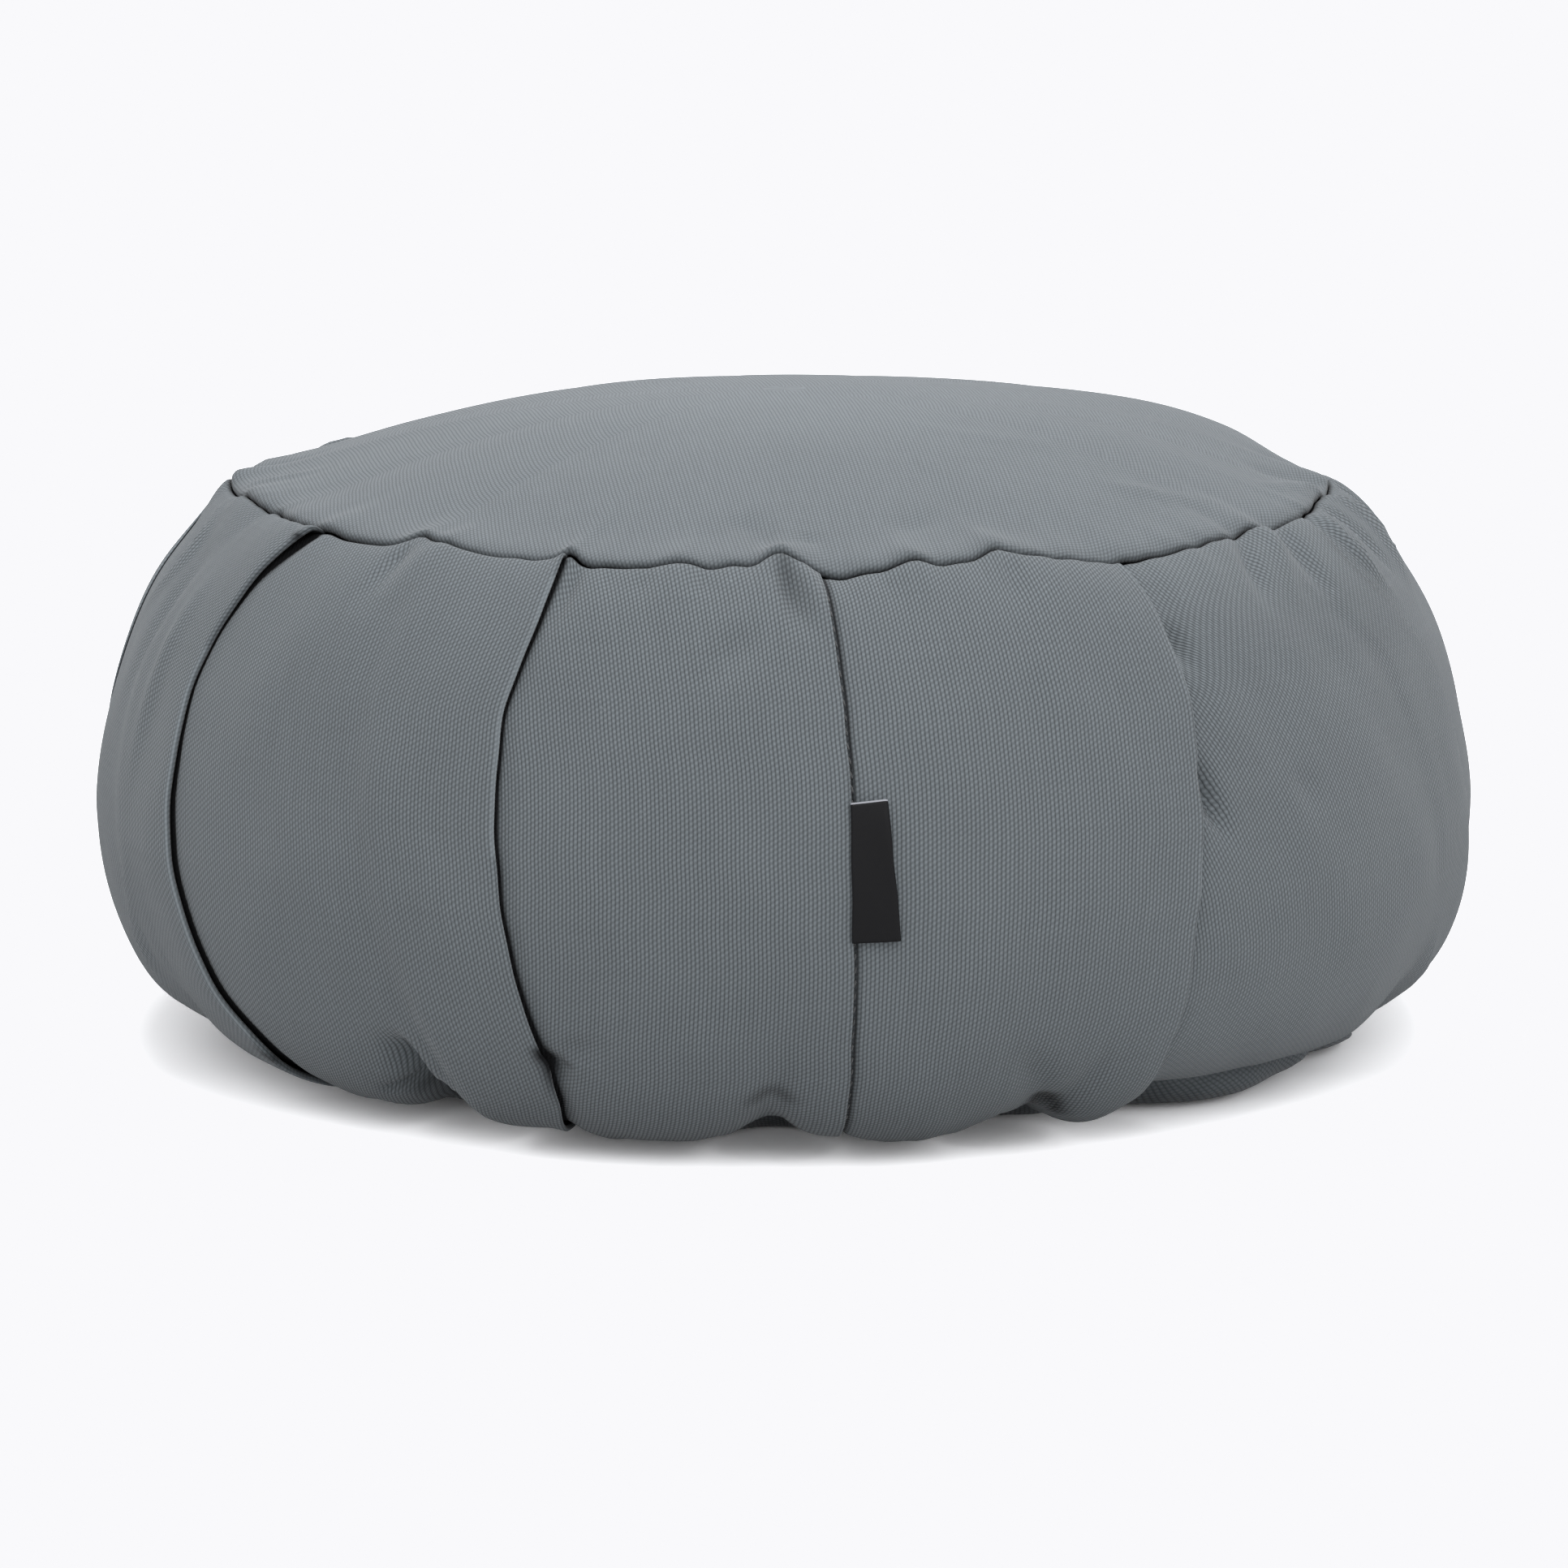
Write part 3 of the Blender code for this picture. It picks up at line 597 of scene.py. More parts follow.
def fold_edge(fold, share):
    """Angle of a fold's edge, with the small unevenness of a pressed fold."""
    start = fold.edge[0] + fold.edge[-1]
    wobble = sum(height * np.sin(waves * share * math.pi + start)
                 for waves, height in EDGE_WAVES)
    stations = FINE_STATIONS if len(fold.edge) > len(FOLD_STATIONS) else FOLD_STATIONS
    return curve_through(stations, fold.edge, share) + wobble * fold.thick


def seam_sag(angle, pinches):
    """How far a seam sags here: 0 at the pinches behind the folds, 1 half way between."""
    behind = np.full(np.shape(angle), 360.0)
    ahead = np.full(np.shape(angle), 360.0)
    for pinch in pinches:
        behind = np.minimum(behind, (angle - pinch) % 360.0)
        ahead = np.minimum(ahead, (pinch - angle) % 360.0)
    part = np.sin(math.pi * behind / np.maximum(behind + ahead, 1e-6))
    return np.clip(part, 0.0, 1.0) ** SAG_ROUNDNESS


TOP_SAG_PINCHES = [fold.edge[-1] - fold.tuck[-1] for fold in FOLDS]
BOTTOM_SAG_PINCHES = [fold.edge[0] - fold.tuck[0] for fold in FOLDS]


def pinch_weight(angle, from_seam, pinch):
    """How strongly a pinch is felt: most at its own place on the seam."""
    side = 1.0 / (1.0 + (around(angle, pinch.angle) / pinch.spread) ** 2) ** REACH_POWER
    return side * np.exp(-(from_seam / (pinch.reach * MM)) ** REACH_POWER)


def raised(angle, stretch):
    """How far a place is inside a raised stretch of the seam, from 0 to 1."""
    middle = (stretch.start + stretch.end) / 2
    turned = around(angle, middle) + middle
    rising = smooth((turned - stretch.start) / stretch.fade_in)
    return rising * smooth((stretch.end - turned) / stretch.fade_out)


def distance_to_line(x, y, points):
    """Distance from each place to a run of points, and how far along the run it is met."""
    nearest = np.full(np.shape(x), 1e9)
    along = np.zeros(np.shape(x))
    parts = len(points) - 1
    for i in range(parts):
        (ax, ay), (bx, by) = points[i], points[i + 1]
        dx, dy = bx - ax, by - ay
        part = np.clip(((x - ax) * dx + (y - ay) * dy) / (dx * dx + dy * dy), 0.0, 1.0)
        distance = np.hypot(x - ax - dx * part, y - ay - dy * part)
        closer = distance < nearest
        nearest = np.where(closer, distance, nearest)
        along = np.where(closer, (i + part) / parts, along)
    return nearest, along


def bent_line(start, middle, end):
    """Points of a smooth bend that starts, turns at the middle and ends as given."""
    points = []
    for i in range(CREASE_PARTS + 1):
        t = i / CREASE_PARTS
        before, at, after = (1 - t) * (1 - 2 * t), 4 * t * (1 - t), t * (2 * t - 1)
        points.append((before * start[0] + at * middle[0] + after * end[0],
                       before * start[1] + at * middle[1] + after * end[1]))
    return points


def crease_height(x, y, crease, points):
    """Height of one crease at each place, in mm."""
    distance, along = distance_to_line(x, y, points)
    weight = bump(distance, crease.width * CREASE_NARROWING * MM)
    if crease.fades[0]:
        weight = weight * smooth(along / CREASE_START_FADE)
    if crease.fades[1]:
        weight = weight * smooth((1.0 - along) / CREASE_END_FADE)
    return crease.height * weight


def add_creases(angle, share, creases):
    """All creases of the side together at each place, in its own flat measure."""
    total = np.zeros(np.shape(angle))
    radius = side_radius(share)
    for crease in creases:
        turned = around(angle, crease.middle[0])
        x = np.radians(turned) * radius
        y = share * SLANT
        points = []
        for place in bent_line(crease.start, crease.middle, crease.end):
            turn = math.radians(place[0] - crease.middle[0])
            points.append((turn * float(side_radius(place[1])), place[1] * SLANT))
        total += crease_height(x, y, crease, points)
    return total


def puckers(angle):
    """Uneven waves round a gathered seam, about -1 to 1."""
    turn = np.radians(angle)
    waves = sum(np.sin(count * turn + start) for count, start in PUCKER_WAVES)
    groups = sum(np.sin(count * turn + start) for count, start in PUCKER_GROUPS)
    return waves * (0.55 + 0.2 * groups) / 2.0


def unevenness(angle, share):
    """Height of the slow waves of the side."""
    turn = np.radians(angle)
    total = np.zeros(np.shape(angle))
    for round_waves, up_waves, start, height in UNEVEN_WAVES:
        total += height * np.sin(round_waves * turn + up_waves * share * math.pi + start)
    return total * MM


def swell(angle, share):
    """How far the filling pushes the side out."""
    total = np.zeros(np.shape(angle))
    for bulge in BULGES:
        side = bump(around(angle, bulge.angle), bulge.angle_spread)
        total += bulge.depth * side * bump(share - bulge.share, bulge.share_spread)
    return total


def side_point(angle, share, proud):
    """Radius and height of points of the side at a height above its plain surface."""
    radius = side_radius(share)
    height = np.interp(share, PROFILE_SHARE, PROFILE_Z)
    out_r = np.interp(share, PROFILE_SHARE, NORMAL_R)
    out_z = np.interp(share, PROFILE_SHARE, NORMAL_Z)
    from_bottom = share * SLANT
    from_top = (1.0 - share) * SLANT
    near_top = share ** SAG_FADE * seam_sag(angle, TOP_SAG_PINCHES)
    near_bottom = (1.0 - share) ** SAG_FADE * seam_sag(angle, BOTTOM_SAG_PINCHES)
    above = proud + swell(angle, share) + unevenness(angle, share)
    calm = mix(CREASE_AT_SEAM, 1.0, smooth(from_top / CREASE_CALM_REACH))
    creases = add_creases(angle, share, SIDE_CREASES) * SIDE_CREASE_STRENGTH * MM
    above = above + creases * calm
    gathered = np.exp(-from_top / PUCKER_REACH)
    gathered = gathered + PUCKERS_AT_BOTTOM * np.exp(-from_bottom / PUCKER_REACH)
    above += PUCKER_HEIGHT * puckers(angle) * gathered
    radius = radius + above * out_r + TOP_SEAM_SWELL * near_top + BOTTOM_SEAM_SWELL * near_bottom
    height = height + above * out_z - TOP_SEAM_SAG * near_top - BOTTOM_SEAM_SAG * near_bottom
    for pinches, from_seam in ((TOP_PINCHES, from_top), (BOTTOM_PINCHES, from_bottom)):
        for pinch in pinches:
            weight = pinch_weight(angle, from_seam, pinch)
            radius = radius - pinch.pull * MM * weight
            height = height + pinch.rise * MM * weight
    lifted = raised(angle, BOTTOM_RAISE)
    weight = lifted * np.exp(-(from_bottom / (BOTTOM_RAISE.reach * MM)) ** REACH_POWER)
    radius = radius - BOTTOM_RAISE.pull * MM * weight
    height = height + BOTTOM_RAISE.rise * MM * weight
    return radius, height


def seam_turn(share):
    """How far the side's cloth drops as it turns in at the seams."""
    nearest = np.minimum(share, 1.0 - share) * SLANT
    left = np.clip(1.0 - nearest / SIDE_TURN_RADIUS, 0.0, 1.0)
    return SIDE_TURN_RADIUS * (1.0 - np.sqrt(1.0 - left ** 2 * SIDE_TURN_PART))


class FoldShape:
    """The sizes of one fold at each row of the side."""

    def __init__(self, fold, share):
        nearest = np.minimum(share, 1.0 - share) * SLANT
        opened = smooth(nearest / STITCHED_REACH)
        self.edge = fold_edge(fold, share)
        mouth = curve_through(LIP_STATIONS, fold.mouth, share) * MM
        dip = curve_through(LIP_STATIONS, fold.dip, share) * MM
        lip = fold.thick * MM + mouth - dip
        self.thick = mix(STITCHED_THICK, fold.thick * MM, opened)
        self.lip = mix(STITCHED_LIP, np.maximum(lip, LEAST_LIP), opened)
        self.mouth = mix(STITCHED_MOUTH, np.maximum(mouth, LEAST_MOUTH), opened)
        self.open = smooth(mouth / OPEN_MOUTH)
        self.lap = mix(min(STITCHED_LAP, fold.lap * MM), fold.lap * MM, opened)
        self.step = curve_through(TUCK_STATIONS, fold.step, share) * MM * opened
        self.step_width = fold.step_width * MM
        tuck = curve_through(TUCK_STATIONS, fold.tuck, share)
        self.tuck = np.radians(tuck) * side_radius(share)
        self.emerge = fold.emerge * MM
        self.nose = self.thick / 2
        self.level = self.lip - self.thick - self.mouth

    def layer_height(self, distance):
        """Height of the upper layer at a distance back from the folded edge."""
        stepped = self.step * smooth((self.tuck - distance) / self.step_width + 0.5)
        rise = 1.0 - smooth((distance - self.nose) / ROLL_ON_WIDTH)
        return stepped + (self.lip - self.step) * rise


def column_parts():
    """Places across a panel, closer together near both folds."""
    even = np.linspace(0.0, 1.0, PANEL_COLUMNS + 2)[1:-1]
    eased = 0.5 - 0.5 * np.cos(math.pi * even)
    return mix(even, eased, COLUMN_EASE)


def band_layout(share):
    """Angle, height, cloth place and painted shade of every column at each row of the side.

    The cloth place across is kept twice, as seen from the cloth before and after a column,
    because it jumps where one panel ends under a fold and the next begins.
    """
    angles, heights, before, after, shades = [], [], [], [], []
    radius = side_radius(share)
    degrees_each = np.degrees(1.0 / radius)
    shapes = [FoldShape(fold, share) for fold in FOLDS]
    grain_starts = [GRAIN_STEP * ((GRAIN_ORDER * i) % len(FOLDS)) for i in range(len(FOLDS))]

    def add(angle, height, place_before, place_after=None, shade=0.0):
        angles.append(angle)
        shades.append(shade + 0.0 * angle)
        heights.append(height)
        before.append(place_before)
        after.append(place_before if place_after is None else place_after)

    def grain(i, angle):
        """Cloth place across panel i, measured from its own fold."""
        i = i % len(FOLDS)
        shape = shapes[i]
        place = np.radians(around(angle, shape.edge)) * radius + shape.nose
        if i == JOIN_SEAM + 1:
            seam = shapes[JOIN_SEAM]
            from_seam = np.radians(around(angle, seam.edge)) * radius
            width = np.radians(FOLDS[i].edge[2] - FOLDS[JOIN_SEAM].edge[2]) * WAIST_RADIUS
            across = around(angle, seam.edge) / around(shape.edge, seam.edge)
            place = mix(from_seam - width, place, np.clip(across, 0.0, 1.0))
        return place + grain_starts[i]

    for i, shape in enumerate(shapes):
        last = shapes[i - 1]
        start = last.edge - (360.0 if i == 0 else 0.0)
        end = shape.edge - shape.nose * degrees_each
        beside = [start + distance * degrees_each for distance in BESIDE_FOLD]
        across = [mix(beside[-1], end, part) for part in column_parts()]
        for angle in beside + across:
            from_last = np.radians(angle - start) * radius
            to_edge = np.radians(shape.edge - angle) * radius
            height = shape.layer_height(to_edge)
            height = height + last.level * (1.0 - smooth(from_last / last.emerge))
            part = from_last / (from_last + to_edge)
            height = height + PANEL_FULLNESS * np.sin(math.pi * part)
            # Painted shade on the cloth just beside the fold, wider where its mouth is open
            dark_reach = BESIDE_FOLD_REACH + BESIDE_FOLD_PER_MOUTH * last.mouth
            shade = BESIDE_FOLD_SHADE * last.open * bump(from_last, dark_reach)
            add(angle, height, grain(i, angle), shade=shade)
        start_place = grain_starts[i]
        # Round the nose: a painted highlight on its upper turn, painted shade on its lower turn
        for turn, shade in zip(NOSE_TURNS, NOSE_SHADES):
            phi = math.radians(turn)
            closed_shade = CLOSED_NOSE_SHADE if shade > 0.0 else 1.0
            shade = shade * mix(closed_shade, 1.0, shape.open)
            distance = shape.nose * (math.cos(phi) - 1.0)
            height = shape.lip - shape.nose + shape.nose * math.sin(phi)
            add(shape.edge + distance * degrees_each, height,
                start_place + shape.nose * (math.pi / 2 - phi), shade=shade)
        # Under the fold and in its slot the cloth is painted in full shade
        for part in UNDER_PARTS:
            distance = mix(shape.nose, shape.lap, part)
            height = shape.layer_height(distance) - shape.thick
            add(shape.edge - distance * degrees_each, height,
                start_place + shape.nose * math.pi + distance - shape.nose, shade=1.0)
        end_distance = shape.lap + SLOT_END_GAP
        end_angle = shape.edge - end_distance * degrees_each
        end_height = shape.layer_height(shape.lap) - shape.thick - SLOT_END_GAP / 2
        add(end_angle, end_height, start_place + shape.nose * math.pi + shape.lap,
            grain(i + 1, end_angle), shade=1.0)
        for part in FLOOR_PARTS:
            distance = shape.lap * part
            gap = mix(shape.mouth, np.minimum(SLOT_END_GAP, shape.mouth), part ** 0.6)
            height = shape.layer_height(np.maximum(distance, shape.nose)) - shape.thick - gap
            angle = shape.edge - distance * degrees_each
            add(angle, height, grain(i + 1, angle), shade=1.0)

    size = (len(share), 1)
    return tuple(np.concatenate([np.broadcast_to(column, size) for column in columns], axis=1)
                 for columns in (angles, heights, before, after, shades))


def row_shares():
    """Heights of the side's rows, closer together near both seams."""
    near = np.array(SEAM_ROWS) * MM
    count = round((SLANT - 2 * near[-1]) / ROW_SPACING)
    middle = np.linspace(near[-1], SLANT - near[-1], count + 1)[1:-1]
    lengths = np.concatenate((near, middle, SLANT - near[::-1]))
    return (lengths / SLANT).reshape(-1, 1)


def place(angle, radius, height):
    """Points from the angle round the cushion, the distance from the axis and the height."""
    turn = np.radians(angle)
    x = radius * np.sin(turn) + MIDDLE_SHIFT[0]
    y = -radius * np.cos(turn) + MIDDLE_SHIFT[1]
    return np.stack(np.broadcast_arrays(x, y, height), axis=-1)


def crown_height(angle, radius, seam_radius, seam_height):
    """Height of the top panel's upper face, before its edge roll."""
    part = np.clip(radius / seam_radius, 0.0, 1.0)
    calm_height = TOP_SEAM_HEIGHT - 0.5 * TOP_SEAM_SAG
    rise = (CROWN_HEIGHT - calm_height) * (1.0 - part ** CROWN_EXPONENT)
    turn = np.radians(around(angle, CROWN_SWELL_ANGLE))
    lift = CROWN_SWELL_DEPTH * np.sin(math.pi * part ** 2) * np.maximum(np.cos(turn), 0.0)
    x = radius * np.sin(np.radians(angle))
    y = -radius * np.cos(np.radians(angle))
    for mound in TOP_MOUNDS:
        away = np.hypot(x - mound.x * MM, y - mound.y * MM)
        calm = smooth(MOUND_CALM * (1 - part))
        lift = lift + mound.height * MM * bump(away, mound.spread * MM) * calm
    edge = np.exp(-(seam_radius - radius) / SEAM_PULL_REACH)
    return calm_height + rise + lift + (seam_height - calm_height) * edge


def seam_ring(share):
    """Angles round a seam, where a panel meets the side, with its radius and height there."""
    angle = np.linspace(0.0, 360.0, PANEL_ANGLES, endpoint=False).reshape(1, -1)
    return angle, *side_point(angle, np.full(angle.shape, share), 0.0)


def grid_faces(rows, columns):
    """Quads between neighbouring rows of a closed ring of columns, facing outwards."""
    i = np.arange(rows - 1).reshape(-1, 1)
    j = np.arange(columns).reshape(1, -1)
    k = (j + 1) % columns
    quads = np.stack(np.broadcast_arrays(i * columns + j, i * columns + k,
                                         (i + 1) * columns + k, (i + 1) * columns + j), axis=-1)
    return quads.reshape(-1, 4)


def make_body(name, points, faces, corner_places, materials, corner_shades=None, painted_shading=None):
    """An object of the points and faces, with cloth places given for each face corner.

    Corner shades are kept as painted shade and painted paleness: how dark and how pale the cloth
    is painted. Faces painted in full shade take the second material, a shaded copy of the canvas.
    """
    mesh = bpy.data.meshes.new(name)
    mesh.from_pydata(points.tolist(), [], faces)
    cloth = mesh.uv_layers.new(name="cloth")
    cloth.data.foreach_set("uv", np.asarray(corner_places, dtype=np.float32).ravel())
    if corner_shades is not None:
        # A second cloth map carries the painted shade and the painted paleness
        hidden = mesh.uv_layers.new(name="hidden")
        dark_and_pale = (np.maximum(corner_shades, 0.0), np.maximum(-corner_shades, 0.0))
        pairs = np.stack(dark_and_pale, axis=-1)
        hidden.data.foreach_set("uv", pairs.astype(np.float32).ravel())
    for material in materials:
        mesh.materials.append(material)
    if painted_shading is not None:
        mesh.polygons.foreach_set("material_index", painted_shading.astype(np.int32))
    mesh.shade_smooth()
    mesh.validate()
    body = bpy.data.objects.new(name, mesh)
    bpy.context.collection.objects.link(body)
    return body


def rings_to_mesh(name, points, before, after, along, shade, poles, materials):
    """Join rings of points in turn and close both ends with a pole."""
    rows, columns = points.shape[:2]
    flat_points = points.reshape(-1, 3)
    quads = grid_faces(rows, columns)
    flat_before, flat_after = before.reshape(-1), after.reshape(-1)
    flat_along, flat_shade = along.reshape(-1), shade.reshape(-1)
    u = np.stack((flat_after[quads[:, 0]], flat_before[quads[:, 1]],
                  flat_before[quads[:, 2]], flat_after[quads[:, 3]]), axis=-1)
    v = flat_along[quads]
    corner = np.stack((u, v), axis=-1).reshape(-1, 2)
    faces = quads.tolist()
    corners = [corner]
    shades = [flat_shade[quads].ravel()]
    extra = []
    for row, pole, turned in ((0, poles[0], True), (rows - 1, poles[1], False)):
        index = len(flat_points) + len(extra)
        extra.append(pole)
        first = np.arange(columns) + row * columns
        second = (np.arange(columns) + 1) % columns + row * columns
        pair = (second, first) if turned else (first, second)
        tri = np.stack((pair[0], pair[1], np.full(columns, index)), axis=-1)
        faces += tri.tolist()
        uv_first = np.stack((flat_after[first], flat_along[first]), axis=-1)
        uv_second = np.stack((flat_before[second], flat_along[second]), axis=-1)
        ordered = (uv_second, uv_first) if turned else (uv_first, uv_second)
        middle = (uv_first + uv_second) / 2
        corners.append(np.stack((ordered[0], ordered[1], middle), axis=1).reshape(-1, 2))
        shades.append(np.repeat(flat_shade[first], 3))
    flat_points = np.concatenate((flat_points, np.array(extra)))
    # Faces painted in full shade take the shaded copy of the canvas
    least = [flat_shade[quads].min(axis=1)] + [s[::3] for s in shades[1:]]
    painted_shading = np.concatenate(least) > SHADED_COPY_FROM
    return make_body(name, flat_points, faces, np.concatenate(corners), materials,
                     np.concatenate(shades), painted_shading)


def make_side_band(materials):
    """The pleated side: its folds, pinches and creases, closed across under both panels."""
    share = row_shares()
    angle, proud, before, after, shade = band_layout(share)
    full_share = np.broadcast_to(share, angle.shape)
    radius, height = side_point(angle, full_share, proud - seam_turn(full_share))
    along = np.broadcast_to(share * SLANT, angle.shape)
    from_seam = np.minimum(full_share, 1.0 - full_share) * SLANT
    # Painted shade: dark lines in the narrowest tucks and along both seams
    dark = np.clip(add_creases(angle, full_share, PAINTED_SHADE_LINES), 0.0, 1.0)
    dark = np.maximum(dark, SEAM_SHADE * (1.0 - smooth(from_seam / SEAM_SHADE_REACH)))
    shade = np.where(dark > np.maximum(shade, 0.0), dark, shade)

    low_r, low_z = radius[:1], height[:1]
    rim_rows = [(low_r * part, np.maximum(low_z * part ** CAP_POWER, 0.0) + UNDER_PANEL_GAP)
                for part in reversed(CAP_PARTS)]
    rim_rows.append((low_r - SEAM_TURN_IN, low_z + 0.5 * MM))
    extra_low = len(rim_rows)
    rows_r = [r for r, z in rim_rows] + [radius]
    rows_z = [z for r, z in rim_rows] + [height]
    rows_along = [along[:1] - (extra_low - k) * LOW_CAP_STEP * MM for k in range(extra_low)] + [along]
    top_r, top_z = side_point(angle[-1:], full_share[-1:], 0.0)
    end_r, end_z = radius[-1:], height[-1:]
    rows_r.append(end_r - SEAM_TURN_IN)
    rows_z.append(end_z - 0.4 * MM)
    rows_along.append(along[-1:] + SEAM_TURN_IN)
    for k, part in enumerate(CAP_PARTS):
        r = end_r * part
        rows_r.append(r)
        rows_z.append(crown_height(angle[-1:], r, top_r, top_z) - UNDER_PANEL_GAP)
        rows_along.append(along[-1:] + (k + 2) * HIGH_CAP_STEP * MM)
    extra_high = 1 + len(CAP_PARTS)

    def extend(values):
        return np.concatenate((np.repeat(values[:1], extra_low, axis=0), values,
                               np.repeat(values[-1:], extra_high, axis=0)))

    points = place(extend(angle), np.concatenate(rows_r), np.concatenate(rows_z))
    poles = ((*MIDDLE_SHIFT, UNDER_PANEL_GAP), (*MIDDLE_SHIFT, CROWN_HEIGHT - UNDER_PANEL_GAP))
    return rings_to_mesh("pleated_side", points, extend(before), extend(after),
                         np.concatenate(rows_along), extend(shade), poles, materials)


def planar_creases(x, y):
    """All creases of the top panel together at each place."""
    total = np.zeros(np.shape(x))
    for crease in TOP_CREASES:
        points = [(px * MM, py * MM)
                  for px, py in bent_line(crease.start, crease.middle, crease.end)]
        total += crease_height(x, y, crease, points)
    return total * TOP_CREASE_STRENGTH * MM


def panel_parts():
    """Shares of the radius, closer together towards the edge."""
    even = np.linspace(0.0, 1.0, PANEL_ROWS + 1)[1:]
    return 1.0 - (1.0 - even) ** PANEL_ROWS_EASE


def turned_place(x, y, degrees):
    """Cloth places of a flat panel whose grain is turned."""
    turn = math.radians(degrees)
    return x * math.cos(turn) + y * math.sin(turn), y * math.cos(turn) - x * math.sin(turn)


def panel_mesh(name, points, angle, shades, poles, grain_turn, faces_up, materials):
    """A round panel of rings from its middle outwards, its cloth measured along its surface."""
    middle = np.array((*MIDDLE_SHIFT, points[0, 0, 2]))
    steps = np.linalg.norm(np.diff(points, axis=0), axis=-1).mean(axis=1)
    first = np.linalg.norm(points[0] - middle, axis=-1).mean()
    radius = (first + np.concatenate(([0.0], np.cumsum(steps)))).reshape(-1, 1)
    turn = np.radians(angle)
    u, v = turned_place(radius * np.sin(turn), -radius * np.cos(turn), grain_turn)
    shade = np.broadcast_to(np.array(shades).reshape(-1, 1), u.shape)
    if faces_up:
        points, u, v, shade = points[::-1], u[::-1], v[::-1], shade[::-1]
    return rings_to_mesh(name, points, u, u, v, shade, poles, materials)


def make_top_panel(materials):
    """The round top: a thin crowned sheet that rolls over at its seam."""
    angle, seam_r, seam_z = seam_ring(1.0)
    wave = puckers(angle + PANEL_WAVE_TURN)
    roll = PANEL_ROLL_RADIUS * (1.0 + PANEL_ROLL_WAVE * wave)
    start_turn = math.radians(PANEL_ROLL_START)
    centre_r = seam_r - roll + 0.1 * MM
    centre_z = seam_z + PANEL_ROLL_RISE
    start_r = centre_r + roll * math.cos(start_turn)
    start_z = centre_z + roll * math.sin(start_turn)
    plain_start = crown_height(angle, start_r, seam_r, seam_z)
    puff = start_z - plain_start
    rings, shades = [], []
    for part in panel_parts():
        r = start_r * part
        z = crown_height(angle, r, seam_r, seam_z)
        z = z + puff * bump(start_r - r, PANEL_PUFF_REACH)
        from_edge = start_r - r
        points = place(angle, r, z)
        x, y = points[..., 0], points[..., 1]
        extra = planar_creases(x, y)
        extra = extra + PANEL_WAVE_HEIGHT * wave * np.exp(-from_edge / PANEL_WAVE_REACH)
        slow = np.sin(x * WAVES_ACROSS + 1.0) * np.sin(y * WAVES_DEEP + 0.4)
        extra = extra + PANEL_WAVE_HEIGHT * slow
        edge_fade = smooth(from_edge / PANEL_CALM_REACH)
        points[..., 2] += extra * mix(PANEL_CALM, 1.0, edge_fade)
        rings.append(points)
        # Painted shade near the edge, and the top painted paler towards its middle
        near = (1.0 - part) * TOP_SEAM_RADIUS / PANEL_EDGE_REACH
        edge_shade = PANEL_EDGE_SHADE * float(1.0 - smooth(near))
        shades.append(edge_shade - MIDDLE_PAINTED_PALER * float(bump(part, MIDDLE_REACH)))
    # Painted shade on the roll, darker as it turns under
    for turn, shade in zip(PANEL_ROLL_TURNS, PANEL_ROLL_SHADES):
        phi = math.radians(turn)
        r = centre_r + roll * math.cos(phi)
        z = centre_z + roll * math.sin(phi)
        rings.append(place(angle, r, z))
        shades.append(shade)
    under = [place(angle, centre_r - 0.6 * MM, centre_z - roll * 0.4)]
    for part in UNDER_PANEL_PARTS:
        r = start_r * part
        z = crown_height(angle, r, seam_r, seam_z) - PANEL_THICKNESS
        z = z + puff * bump(start_r - r, PANEL_PUFF_REACH)
        points = place(angle, r, z)
        points[..., 2] += planar_creases(points[..., 0], points[..., 1])
        under.append(points)
    # The underside is painted in full shade
    shades += [1.0] * len(under)
    rows = np.concatenate(rings + under)
    poles = ((*MIDDLE_SHIFT, CROWN_HEIGHT - PANEL_THICKNESS), (*MIDDLE_SHIFT, CROWN_HEIGHT))
    return panel_mesh("crowned_top", rows, angle, shades, poles, TOP_GRAIN_TURN, True, materials)


